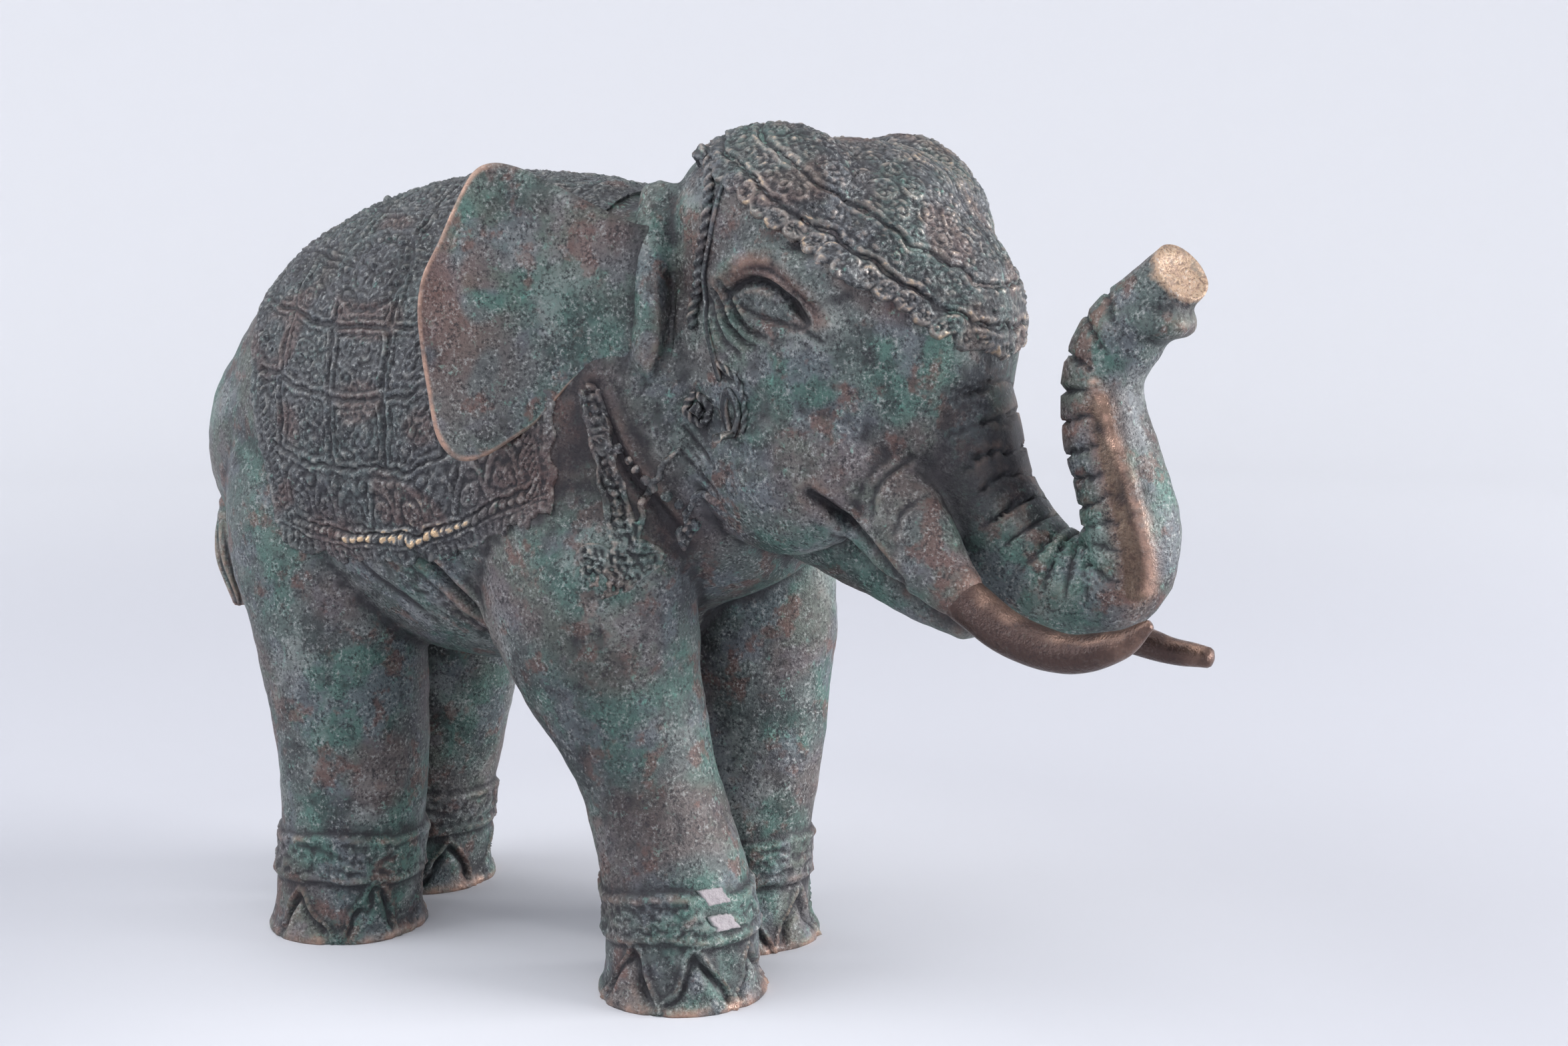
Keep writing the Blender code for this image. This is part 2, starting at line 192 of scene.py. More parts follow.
def lengths_along(line: Array) -> Array:
    """The way along a line of points from its first one."""
    return np.concatenate([[0], np.cumsum(np.linalg.norm(np.diff(line, axis=0), axis=1))])


def distance_to(line: Array, spots: Array) -> Array:
    """The distance from each spot to the nearest point of the line."""
    return np.linalg.norm(spots[..., None, :] - line, axis=-1).min(axis=-1)


# Meshes


@dataclass(frozen=True)
class Shell:
    """A closed surface: points in grid millimetres, quads and triangles."""

    points: Array
    quads: NDArray[np.int64]
    tris: NDArray[np.int64]

    @staticmethod
    def joined(shells: Sequence["Shell"]) -> "Shell":
        """All the shells as one.

        Args:
            shells: the shells, each with its own numbering.

        Returns:
            One shell with their points in a row and their faces renumbered.
        """
        starts = np.cumsum([0] + [len(shell.points) for shell in shells[:-1]])
        return Shell(
            np.vstack([shell.points for shell in shells]),
            np.vstack([shell.quads + start for shell, start in zip(shells, starts)]),
            np.vstack([shell.tris + start for shell, start in zip(shells, starts)]),
        )

    @staticmethod
    def of_rings(rings: Array, poles: tuple[Array, Array]) -> "Shell":
        """A form made of rings of points, closed at both ends.

        Args:
            rings: rows of points around the form, shape (rows, sides, 3).
            poles: the point at the start and the one at the end.

        Returns:
            The closed shell, with the poles as its last two points.
        """
        count, sides, _ = rings.shape
        near = np.arange(sides)
        after = (near + 1) % sides
        start = np.full(sides, count * sides)
        last = (count - 1) * sides
        first_cap = np.stack([start, after, near], 1)
        last_cap = np.stack([start + 1, near + last, after + last], 1)
        points = np.vstack([rings.reshape(-1, 3), *[pole[None] for pole in poles]])
        return Shell(points, grid_quads(count, sides, True), np.vstack([first_cap, last_cap]))

    @staticmethod
    def of_sheet(top: Array, apex: Array) -> "Shell":
        """A sheet closed by a fan from its border to one point inside the body.

        Args:
            top: the sheet's visible grid, shape (rows, columns, 3).
            apex: the point inside the body.

        Returns:
            The closed shell, with the grid's points first and the apex last.
        """
        rows, columns, _ = top.shape
        number = np.arange(rows * columns).reshape(rows, columns)
        edges = [number[0, :-1], number[:-1, -1], number[-1, :0:-1], number[:0:-1, 0]]
        border = np.concatenate(edges)
        fan = np.stack([np.roll(border, -1), border, np.full(len(border), rows * columns)], 1)
        return Shell(np.vstack([top.reshape(-1, 3), apex[None]]), grid_quads(rows, columns), fan)

    @staticmethod
    def of_ball(centre: Row, half: Row, sides: int = 32) -> "Shell":
        """A ball stretched to three half sizes.

        Args:
            centre: its middle.
            half: its half sizes along x, y and z.
            sides: points around it.

        Returns:
            The closed shell: rings of sines and cosines between two poles on the z axis.
        """
        turn = np.linspace(0, math.pi, sides // 2 + 1)[1:-1, None]
        around = np.linspace(0, 2 * math.pi, sides, endpoint=False)[None, :]
        flat = np.sin(turn)
        wheel = [flat * np.cos(around), flat * np.sin(around), np.cos(turn) + 0 * around]
        middle, size = np.array(centre, float), np.array(half, float)
        top = np.array([0, 0, 1.0])
        rings = middle + np.stack(wheel, -1) * size
        return Shell.of_rings(rings, (middle + top * size, middle - top * size))


@dataclass(frozen=True)
class Placement:
    """Where the sculptor's grid lies in the row frame."""

    ahead: float

    def to_row(self, points: Array) -> Array:
        """Grid millimetres as metres in the row frame."""
        return (points + np.array([0, self.ahead, 0])) * MM

    def to_grid(self, points: Array) -> Array:
        """Metres in the row frame as grid millimetres."""
        return points / MM - np.array([0, self.ahead, 0])


class Piece:
    """A mesh object whose points are read and written in grid millimetres."""

    def __init__(self, name: str, shell: Shell, place: Placement, closed: bool = True) -> None:
        """Makes the object.

        Args:
            name: the object's name.
            shell: its surface.
            place: where the grid lies.
            closed: turns the faces of a closed surface outwards.
        """
        self.place = place
        mesh = bpy.data.meshes.new(name)
        faces = shell.quads.tolist() + shell.tris.tolist()
        mesh.from_pydata(place.to_row(shell.points).tolist(), [], faces)
        if closed:
            work = bmesh.new()
            work.from_mesh(mesh)
            bmesh.ops.recalc_face_normals(work, faces=work.faces)
            work.to_mesh(mesh)
            work.free()
        smooth = np.concatenate([np.ones(len(shell.quads)), np.ones(len(shell.tris)) * closed])
        mesh.polygons.foreach_set("use_smooth", smooth.astype(bool))
        self.item = bpy.data.objects.new(name, mesh)
        bpy.context.scene.collection.objects.link(self.item)

    def points(self) -> Array:
        """The points, in grid millimetres."""
        return self._read(self.item.data)

    def normals(self) -> Array:
        """The direction out of the surface at each point.

        Returns:
            Directions of length 1, in the points' order.
        """
        mesh = self.item.data
        values = np.empty(len(mesh.vertices) * 3, np.float32)
        mesh.vertex_normals.foreach_get("vector", values)
        return values.reshape(-1, 3).astype(float)

    def move(self, points: Array) -> None:
        """Puts the points here.

        Args:
            points: the new places, in grid millimetres.
        """
        values = self.place.to_row(points).astype(np.float32).ravel()
        self.item.data.vertices.foreach_set("co", values)
        self.item.data.update()

    def modified(self, kind: str, settings: Mapping[str, object], keep: bool = False) -> Array:
        """The points as one more modifier leaves them.

        Args:
            kind: the modifier's type.
            settings: its properties.
            keep: makes the result the piece's own mesh.

        Returns:
            The points of the result, in grid millimetres.
        """
        modifier = self.item.modifiers.new(kind.title(), kind)
        for name, value in settings.items():
            setattr(modifier, name, value)
        graph = bpy.context.evaluated_depsgraph_get()
        made = bpy.data.meshes.new_from_object(self.item.evaluated_get(graph))
        self.item.modifiers.clear()
        points = self._read(made)
        if keep:
            old, self.item.data = self.item.data, made
            bpy.data.meshes.remove(old)
        else:
            bpy.data.meshes.remove(made)
        return points

    def convexity(self, rounds: int) -> Array:
        """How far each point stands out of its softened surroundings, in millimetres."""
        softened = self.modified("SMOOTH", {"iterations": rounds})
        return ((self.points() - softened) * self.normals()).sum(axis=1)

    def paint(self, traces: Mapping[Trace, Array]) -> None:
        """Writes the painted values that the patina reads.

        Args:
            traces: values from 0 to 1 for the points, in their order; what isn't named stays 0.
        """
        mesh = self.item.data
        for trace in Trace:
            values = np.zeros(len(mesh.vertices), np.float32)
            if trace in traces:
                values[: len(traces[trace])] = np.clip(traces[trace], 0, 1)
            layer = mesh.attributes.new(trace.value, "FLOAT", "POINT")
            layer.data.foreach_set("value", values)

    def remove(self) -> None:
        """Deletes the object."""
        bpy.data.objects.remove(self.item)

    def _read(self, mesh: bpy.types.Mesh) -> Array:
        """The points of a mesh.

        Args:
            mesh: the mesh, with its points in metres in the row frame.

        Returns:
            The points, in grid millimetres.
        """
        values = np.empty(len(mesh.vertices) * 3, np.float32)
        mesh.vertices.foreach_get("co", values)
        return self.place.to_grid(values.reshape(-1, 3).astype(float))


@dataclass(frozen=True)
class Course:
    """The middle line of a form, its half sizes and its three directions at each step."""

    middle: Array
    half: Array
    ahead: Array
    across: Array
    upward: Array


@dataclass(frozen=True)
class Loft:
    """A round form: stations of x, y, z of its middle, half width across and half depth."""

    stations: Rows
    sides: int = 56
    steps: int = 80
    fullness: float = 2.0

    def mirrored(self) -> "Loft":
        """The same form on the other side."""
        rows = tuple((-row[0], *row[1:]) for row in self.stations)
        return Loft(rows, self.sides, self.steps, self.fullness)

    def course(self, steps: int) -> Course:
        """The middle line with its directions.

        Args:
            steps: how many places along it.

        Returns:
            The smooth line through the stations. Its ahead is the line's slope, its across is
            the x axis squared to that, and its upward is square to both.
        """
        rows = through(self.stations, steps)
        middle = rows[:, :3]
        ahead = unit(np.gradient(middle, axis=0))
        across = unit(np.array([1.0, 0, 0]) - ahead[:, :1] * ahead)
        return Course(middle, rows[:, 3:5], ahead, across, np.cross(ahead, across))

    def shell(self) -> Shell:
        """Rings carried along the middle line, with domed ends.

        Returns:
            The closed shell. A ring is a superellipse: its cosine and sine are raised to 2 over
            the fullness, times the half width and the half depth.
        """
        way = self.course(self.steps)
        angle = np.linspace(0, 2 * math.pi, self.sides, endpoint=False)
        wide, deep = (
            (np.sign(part) * np.abs(part) ** (2 / self.fullness))[None, :, None]
            for part in (np.cos(angle), np.sin(angle))
        )
        rim = wide * (way.across * way.half[:, :1])[:, None]
        rim = rim + deep * (way.upward * way.half[:, 1:])[:, None]
        turn = np.radians([66, 36])[:, None, None]
        first, last = way.half[0].min() / 2, way.half[-1].min() / 2
        start = way.middle[0] + rim[0] * np.cos(turn) - way.ahead[0] * first * np.sin(turn)
        turn = turn[::-1]
        end = way.middle[-1] + rim[-1] * np.cos(turn) + way.ahead[-1] * last * np.sin(turn)
        rings = np.concatenate([start, way.middle[:, None] + rim, end])
        poles = (way.middle[0] - way.ahead[0] * first, way.middle[-1] + way.ahead[-1] * last)
        return Shell.of_rings(rings, poles)


# The body and its carving


@dataclass(frozen=True)
class Anatomy:
    """Stations of the round forms, in grid millimetres."""

    body: Loft = Loft(
        (
            (0, -62, 120, 30, 35),
            (0, -47, 123, 37, 45),
            (0, -28, 123.5, 41.5, 52.5),
            (0, -8, 123.5, 44, 56),
            (0, 14, 122.8, 45, 56.2),
            (0, 32, 120.5, 43.5, 53.3),
            (0, 47, 117.2, 40.5, 48.2),
            (0, 60, 113.5, 35.5, 41),
            (0, 71.5, 110, 31, 33),
            (0, 80.5, 106.5, 24.5, 25.5),
            (0, 87.5, 103.5, 17, 18),
            (0, 92.5, 101, 9, 12),
        ),
        80,
        100,
        2.2,
    )
    neck: Loft = Loft(((0, -22, 130, 34, 42), (0, -44, 139, 31, 37), (0, -62, 144, 29, 36)))
    skull: Loft = Loft(
        (
            (0, -50, 147, 29, 30),
            (0, -60, 145, 32, 38),
            (0, -72, 143, 33.5, 42.5),
            (0, -84, 141, 32.5, 43),
            (0, -95, 138, 29, 38.5),
            (0, -104, 136, 24, 30.5),
        ),
        64,
        60,
        2.2,
    )
    trunk: Loft = Loft(
        (
            (0, -88, 150, 22, 20),
            (0, -97, 138, 19.5, 19),
            (0, -104.5, 124.5, 16.5, 15.5),
            (0, -112, 110.5, 14, 12),
            (0, -121.5, 99.5, 12, 11),
            (0, -132.5, 94, 10.7, 10.4),
            (0, -142.6, 95.5, 9.9, 9.7),
            (0, -145.2, 106, 9.6, 9.9),
            (0, -142.3, 118, 9, 9.2),
            (0, -138.8, 129, 8.4, 8.5),
            (0, -138.6, 137.5, 8, 8),
            (0, -142.8, 145.5, 8, 8.6),
            (0, -147.8, 151.6, 6.8, 7.4),
            (-0.6, -152.6, 156.2, 5.6, 6.8),
            (-1.2, -156.8, 160.4, 5.2, 6.4),
        ),
        48,
        150,
    )
    jaw: Loft = Loft(
        (
            (0, -66, 112, 20, 14),
            (0, -85, 101.5, 15, 11),
            (0, -100, 91.5, 11, 7.5),
            (0, -111, 84.5, 8, 4.2),
        )
    )
    legs: tuple[Loft, ...] = (
        Loft(
            (
                (-20, 50, 118, 18, 25),
                (-21, 50, 97, 20, 24.5),
                (-20.5, 46.5, 78, 20, 22),
                (-20, 44.5, 60, 19, 19.5),
                (-19.5, 43.5, 43, 18, 18),
                (-19.5, 44.1, 27, 17.1, 17.2),
                (-19.7, 45.5, 12, 17.1, 17.4),
                (-19.8, 46.2, 5, 17.2, 17.6),
                (-19.8, 46.4, 1, 18, 18.4),
                (-19.8, 46.4, -2, 18, 18.4),
            )
        ),
        Loft(
            (
                (20, 50, 118, 18, 25),
                (21, 51, 97, 20, 25),
                (20.5, 50, 78, 20, 25),
                (20, 49, 60, 19, 22),
                (19.5, 50, 43, 18, 18.5),
                (19.5, 52.6, 27, 17.1, 17.2),
                (19.7, 54.6, 12, 17.1, 17.4),
                (19.8, 55.6, 5, 17.2, 17.6),
                (19.8, 55.8, 1, 18, 18.4),
                (19.8, 55.8, -2, 18, 18.4),
            )
        ),
        Loft(
            (
                (-21, -27, 112, 19, 28),
                (-24, -29, 90, 19.5, 26),
                (-22.5, -33.5, 72, 19, 21.5),
                (-21.5, -38, 60, 17, 17.5),
                (-20.5, -42, 48, 15.6, 15.3),
                (-20, -45.5, 36, 15.6, 15.4),
                (-20, -48.6, 25, 16.2, 16.2),
                (-19.3, -49.8, 12, 16.8, 17),
                (-19.3, -49.7, 5, 17, 17),
                (-19.3, -49.7, 1, 18.2, 18.2),
                (-19.3, -49.7, -2, 18.2, 18.2),
            )
        ),
        Loft(
            (
                (21, -33, 112, 19, 28),
                (23, -38, 90, 19.5, 25),
                (22, -42.8, 72, 19, 22),
                (21.5, -45, 60, 17, 18),
                (21, -45.6, 48, 15.6, 16),
                (21, -43.8, 36, 15.6, 15.6),
                (21, -41.5, 25, 16.2, 16.2),
                (21, -40.6, 12, 16.8, 17),
                (21, -40.8, 5, 17, 17),
                (21, -41, 1, 18.2, 18.2),
                (21, -41, -2, 18.2, 18.2),
            )
        ),
    )
    sheath: Loft = Loft(
        (
            (-15, -91, 118, 9, 11),
            (-18.5, -104, 106, 8, 9.5),
            (-20.5, -113, 97.5, 6, 7),
            (-21.3, -118, 93.8, 5, 5.4),
        ),
        32,
        30,
    )
    ear_fold: Loft = Loft(
        (
            (-25, -50, 174, 4.5, 5),
            (-30.6, -50.6, 163, 3.9, 4.2),
            (-33.2, -51.8, 151, 3.5, 3.6),
            (-33.4, -51.4, 141.5, 3.9, 3.8),
            (-32.6, -50.4, 137, 2.6, 2.8),
        ),
        24,
        30,
    )
    swellings: Rows = (
        (-17.5, -72, 164, 17.5, 24, 24),
        (18, -83.5, 163, 17, 21, 24),
        (-27, -86, 157, 7.5, 12, 6),
        (27, -88, 157, 7.5, 12, 6),
        (0, -101.5, 149, 15, 14, 15),
        (-20, -77, 121, 13, 23, 22),
        (20, -77, 121, 13, 23, 22),
        (-3.2, -153, 147.6, 4.4, 4.6, 3.3),
        (-4.4, -148.6, 148.4, 3.3, 3.8, 3.2),
        (2, -152.6, 148, 4.4, 4.4, 3.4),
    )
    feet: Rows = ((-19.8, 46.4), (19.8, 55.8), (-19.3, -49.7), (21, -41))


@dataclass(frozen=True)
class Stroke:
    """A soft line on both sides: its path as y, z, its width and how far off the middle it is."""

    path: Rows
    width: float
    off_middle: float = 0

    def on(self, points: Array) -> Array:
        """How near the points lie to the line.

        Args:
            points: the skin's points, in grid millimetres.

        Returns:
            1 on the line, fading to 0 beside it as a bell curve of its width.
        """
        line = through(self.path, 40)
        low, high = line.min(axis=0) - 3 * self.width, line.max(axis=0) + 3 * self.width
        flat = points[:, 1:]
        close = ((flat > low) & (flat < high)).all(axis=1)
        close &= np.abs(points[:, 0]) >= self.off_middle
        result = np.zeros(len(points))
        result[close] = bump(distance_to(line, flat[close]), self.width)
        return result


@dataclass(frozen=True)
class Crease:
    """A pressed line on the flat of a side: its path as y, z, its half width and its depth."""

    path: Rows
    width: float
    depth: float
    lip: float = 0.35
    off_middle: float = 9

    def height(self, points: Array) -> Array:
        """The crease with raised lips beside it, on both sides of the head.

        Args:
            points: the skin's points, in grid millimetres.

        Returns:
            What the crease adds to the skin at each point, in millimetres.
        """
        line = through(self.path, 48)
        low, high = line.min(axis=0) - 4 * self.width, line.max(axis=0) + 4 * self.width
        close = ((points[:, 1:] > low) & (points[:, 1:] < high)).all(axis=1)
        close &= np.abs(points[:, 0]) > self.off_middle
        gap = np.linalg.norm(points[close, None, 1:] - line, axis=-1)
        nearest = gap.argmin(axis=1)
        away = gap.min(axis=1)
        fade = np.sin(math.pi * (nearest + 3) / (len(line) + 5)) ** 0.5
        shape = self.lip * bump(away - 2 * self.width, self.width) - bump(away, self.width)
        result = np.zeros(len(points))
        result[close] = self.depth * shape * fade
        return result

    def darkness(self, points: Array) -> Array:
        """How dark the crease is painted, from 0 to 1: the deeper, the darker."""
        stroke = Stroke(self.path, 0.9 * self.width, self.off_middle)
        return stroke.on(points) * min(0.55 * self.depth, 1)


@dataclass
class Skin:
    """The casting's smooth parts as one melted skin, with the carving that belongs to the body.

    All lengths are in millimetres. The eye and the brow are places y, z on the side of the head.
    A chip is a place and the direction of its flat. The nails are angles about each foot's
    middle, in degrees. The tip is the middle of the trunk's cut end, and the tusk ends are how
    far off the middle, from which y and how high the polished tusks leave their sheaths.
    """

    anatomy: Anatomy
    voxel: float = 0.85
    softening: int = 14
    triangles: int = 190_000
    ring_pitch: float = 5.4
    ring_depth: float = 1.25
    wrinkle_pitch: float = 6.6
    anklet_low: float = 14.5
    anklet_width: float = 11.0
    nail_height: float = 13.6
    nail_half_turn: float = 25
    eye: Row = (-79.8, 151.7)
    eye_size: Row = (6.6, 2.4)
    eye_tilt: float = math.radians(25)
    tip: Row = (-1.8, -154.9, 157.0)
    tip_facing: Row = (-0.42, -0.70, 0.58)
    tip_box: Row = (-145, 149)
    tip_hollow: Row = (4.4, 0.6)
    creases: tuple[Crease, ...] = (
        Crease(
            ((-71, 153.8), (-75.8, 156), (-79.6, 155.4), (-83.2, 153.4), (-86, 150.6), (-88, 147.6)),
            0.8,
            2.2,
        ),
        Crease(
            ((-71.5, 153.6), (-73.4, 151.4), (-76, 149.8), (-79, 148.6), (-83, 147.6), (-87, 147.6)),
            0.5,
            0.9,
        ),
        Crease(((-84, 146.9), (-87.5, 146.2), (-90.8, 144)), 0.6, 0.8),
        Crease(((-69.4, 156), (-70.6, 152), (-72.8, 148.6), (-75.6, 146), (-79, 144.8)), 0.6, 1.7),
        Crease(((-67.6, 154.4), (-69, 150), (-71.2, 146.6), (-74, 144), (-77, 142.8)), 0.55, 1.6),
        Crease(((-66.2, 152), (-67.6, 147.6), (-69.8, 144), (-73.4, 141.2)), 0.6, 0.9),
        Crease(((-67.6, 138.4), (-70.3, 136.4), (-74, 135.4)), 0.6, 0.6),
        Crease(
            ((-88, 113.4), (-90.6, 111), (-93.3, 107.8), (-96.8, 104.4), (-100.8, 100.4), (-105, 96)),
            1.2,
            3.4,
            0.2,
            15,
        ),
        Crease(((-90, 104), (-95, 99.4), (-100.5, 94.6)), 0.9, 0.7),
        Crease(((-105, 121), (-101.6, 117.4), (-99.6, 113), (-99.8, 109)), 0.7, 0.7),
        Crease(((-109, 113), (-106, 110), (-105, 106)), 0.6, 0.5),
        Crease(((-55.2, 157.5), (-55.9, 151), (-56, 146), (-55.4, 141), (-53.4, 136.6)), 0.6, 0.9),
        Crease(((6, 97), (2.6, 94), (-1, 89.6), (-5, 84), (-9.6, 78.6)), 1.2, 2.6),
        Crease(((24, 94), (20, 89.4), (14, 84.6), (9, 80)), 1.3, 0.8),
        Crease(((-41, 134), (-44.6, 125), (-48, 117), (-52, 110), (-55, 104)), 1.3, 1.5),
        Crease(((-58.7, 126.5), (-62, 121.8), (-66, 117.4)), 0.5, 0.6),
        Crease(((-58, 121), (-62, 116), (-66, 112)), 0.5, 0.5),
    )
    trunk_ridge: Crease = Crease(
        (
            (-139.6, 136), (-142.3, 129.5), (-144.7, 123), (-147.4, 117),
            (-150.2, 109), (-151.6, 101), (-151, 95),
        ),
        1.1,
        -0.8,
        0,
        3,
    )
    facet: Stroke = Stroke(
        ((-140.6, 132), (-142.4, 124.5), (-144.3, 118.5), (-146.6, 110.5), (-148.6, 102), (-149, 95)),
        3.1,
        4,
    )
    nails: tuple[Row, ...] = (
        (-88, -30, 30, 88),
        (-88, -30, 30, 88),
        (-98, -46, 6, 58),
        (98, 46, -6, -58),
    )
    chips: Rows = (
        (-27.6, -63.4, 25.2, -0.5, -0.85, 0.16),
        (-26.9, -65.4, 19.6, -0.42, -0.9, 0.12),
    )
    chip_half: Row = (3.5, 1.9)
    chip_reach: float = 5.4
    root_shade: Rows = ((0, -115, 117), (20, 10, 17))
    raised_trunk: float = -136
    tusk_ends: Row = (22, -112, 95)
    brow: Rows = ((-68.5, 156), (-74.3, 160.6), (-82, 161), (-87, 157.5), (-90, 152.5), (-91.5, 148))
    lid_shade: Stroke = Stroke(
        ((-72, 156.4), (-76, 158.6), (-80.4, 158.3), (-84.8, 156), (-88.2, 152.6), (-90.4, 148.4)), 2.0, 15
    )
    lid_gleam: Stroke = Stroke(((-73.4, 158.6), (-76.6, 160.3), (-80.4, 160.2)), 0.8, 15)
    ear_shades: tuple[Stroke, ...] = (
        Stroke(((-40, 134), (-44, 124), (-49, 113), (-54, 104)), 7, 20),
        Stroke(((-27, 112), (-34, 117), (-39, 126)), 8, 20),
    )
    ear_valley: Stroke = Stroke(((-56.8, 160), (-56.8, 150), (-55.6, 137)), 2.6)
    jaw_gap: Stroke = Stroke(((-93, 101), (-97.7, 96), (-103.1, 91.4), (-108, 87), (-111, 85)), 2.6, 4)
    front_leg_shade: Stroke = Stroke(((-36, 76), (-40, 60), (-44, 45), (-47, 30)), 10, 24)
    girth: Stroke = Stroke(((14, 94), (8, 89), (2.4, 84), (-2, 80)), 3, 20)

    def build(self, place: Placement) -> Piece:
        """Melts the forms together, carves them and thins the mesh.

        Args:
            place: where the sculptor's grid lies.

        Returns:
            The skin, not yet painted.
        """
        shape = self.anatomy
        lofts = [shape.body, shape.neck, shape.skull, shape.trunk, shape.jaw, *shape.legs]
        for form in (shape.sheath, shape.ear_fold):
            lofts += [form, form.mirrored()]
        shells = [loft.shell() for loft in lofts]
        shells += [Shell.of_ball(row[:3], row[3:]) for row in shape.swellings]
        skin = Piece("skin", Shell.joined(shells), place)
        skin.modified("REMESH", {"mode": "VOXEL", "voxel_size": self.voxel * MM}, keep=True)
        skin.modified("SMOOTH", {"iterations": self.softening}, keep=True)
        LOG.info("the melted skin has %d points", len(skin.item.data.vertices))
        skin.move(self.carved(skin.points(), skin.normals()))
        total = 2 * len(skin.item.data.polygons)
        skin.modified("DECIMATE", {"ratio": self.triangles / total}, keep=True)
        skin.item.data.shade_smooth()
        return skin

    def carved(self, points: Array, normals: Array) -> Array:
        """The points after the carving, the cut of the trunk's tip and the flat soles.

        Args:
            points: the melted skin's points, in grid millimetres.
            normals: the direction out of the skin at each point.

        Returns:
            The points moved along their directions by the sum of all the carving, then pushed
            behind the planes of the cut tip, the chips and the ground.
        """
        height = self.head(points) + self.feet(points) + self.trunk(points, normals)
        height += 0.16 * lumps(points, 13, 3) + 0.07 * lumps(points, 4.5, 4)
        height += sum(crease.height(points) for crease in (*self.creases, self.trunk_ridge))
        height += 0.5 * self.girth.on(points) * crust(points, 2.6, 14)
        moved = self.tip_cut(points + normals * height[:, None])
        for spot, facing in self.chip_planes():
            over = (moved - spot) @ facing
            near = rise(self.chip_reach - np.linalg.norm(moved - spot, axis=1), 2.0)
            moved -= (near * np.maximum(over, 0))[:, None] * facing
        moved[:, 2] = np.maximum(moved[:, 2], 0)
        return moved

    def chip_planes(self) -> list[tuple[Array, Array]]:
        """The middle and the direction of each flat chip on the anklet."""
        return [(np.array(row[:3], float), unit(np.array(row[3:], float))) for row in self.chips]

    def head(self, points: Array) -> Array:
        """The eyeballs in their sockets and the brows over them.

        Args:
            points: the skin's points, in grid millimetres.

        Returns:
            What they add to the skin at each point: an almond of a parabola's outline, a bell
            curve about it pressed in, and a soft ridge along the brow.
        """
        x, y, z = points.T
        cosine, sine = math.cos(self.eye_tilt), math.sin(self.eye_tilt)
        along = (y - self.eye[0]) * cosine + (z - self.eye[1]) * sine
        over = (z - self.eye[1]) * cosine - (y - self.eye[0]) * sine
        long, tall = self.eye_size
        almond = np.abs(over) / tall + (along / long) ** 2
        ball = 1.3 * np.clip(1 - almond, 0, 1) ** 0.5
        socket = -1.3 * bump(np.hypot(along / 1.9, over), 4.4)
        close = (y < -60) & (y > -100) & (z > 138) & (z < 172)
        ridge = np.zeros(len(points))
        ridge[close] = 1.5 * bump(distance_to(through(self.brow, 40), points[close, 1:]), 2.4)
        return (ball + socket + ridge) * (np.abs(x) > 19)

    def feet(self, points: Array) -> Array:
        """Anklets with thin rims, toenails under pointed ridges, and the worn sole edge.

        Args:
            points: the skin's points, in grid millimetres.

        Returns:
            What they add to the skin at each point. An anklet is a band of height over the
            ground, and a nail an arch of height over the angle about the foot's middle.
        """
        x, y, z = points.T
        within = z - self.anklet_low - 0.8 * np.sin(y / 5) - 0.5 * lumps(points, 17, 10)
        width = self.anklet_width
        band = rise(within, 0.8) * rise(width - within, 0.8)
        rims = bump(within - 1.0, 0.8) + bump(within - width + 1.0, 0.8)
        rims = rims + 0.7 * bump(within - 4.4, 0.7)
        rims = rims * (0.3 + 0.7 * rise(lumps(points, 8, 15) + 0.5, 1.2))
        height = band * (0.55 + 0.42 * rims + 0.42 * crust(points, 2.6, 9))
        sway, ragged, uneven = lumps(points, 9, 17), lumps(points, 6, 18), lumps(points, 13, 16)
        for (foot_x, foot_y), angles in zip(self.anatomy.feet, self.nails):
            near = np.hypot(x - foot_x, y - foot_y) < 24
            turn = np.degrees(np.arctan2(x - foot_x, foot_y - y)) + 4 * uneven
            for angle in angles:
                across = np.abs(turn - angle) / self.nail_half_turn
                under = self.nail_height * (1 - 0.95 * across**1.35) - z + 0.8 * sway
                within_nail = rise(1.12 - across, 0.25)
                groove = bump(under - 2.6, 1.5) * rise(z - 1.8, 2) * (0.6 + 0.4 * ragged)
                shape = 0.7 * bump(under, 0.9) - 1.7 * groove + 0.5 * rise(under - 5, 3)
                height += near * within_nail * shape
        return height + 0.5 * bump(z - 1.2, 1.4)

    def trunk(self, points: Array, normals: Array) -> Array:
        """Notches on the inner side of the trunk and wrinkles at its crook.

        Args:
            points: the skin's points, in grid millimetres.
            normals: the direction out of the skin at each point.

        Returns:
            What they take from the skin at each point: waves over the way along the trunk's
            middle line, kept to the side that faces its hollow.
        """
        way = self.anatomy.trunk.course(220)
        length = lengths_along(way.middle)
        close = (points[:, 1] < -97) & (points[:, 2] < 170)
        own, out = points[close], normals[close]
        nearest = ((own[:, None] - way.middle) ** 2).sum(axis=-1).argmin(axis=1)
        along = length[nearest]
        inner = (out * way.upward[nearest]).sum(axis=1)
        place = along / length[-1]
        wavy = along + 0.8 * lumps(own, 17, 12)
        notch = bump(np.sin(math.pi * wavy / self.ring_pitch), 0.27)
        upper = rise(place - 0.42, 0.04) * rise(0.9 - place, 0.03) * rise(inner - 0.1, 0.7)
        wrinkle = bump(np.sin(math.pi * wavy / self.wrinkle_pitch), 0.2)
        lower = rise(place - 0.15, 0.08) * rise(0.45 - place, 0.05) * rise(inner - 0.42, 0.5)
        lower = lower * rise(14 - np.abs(own[:, 0]), 4)
        notched = 0.35 * upper - (0.35 + self.ring_depth) * notch * upper
        height = np.zeros(len(points))
        height[close] = notched - 1.6 * wrinkle * lower
        return height

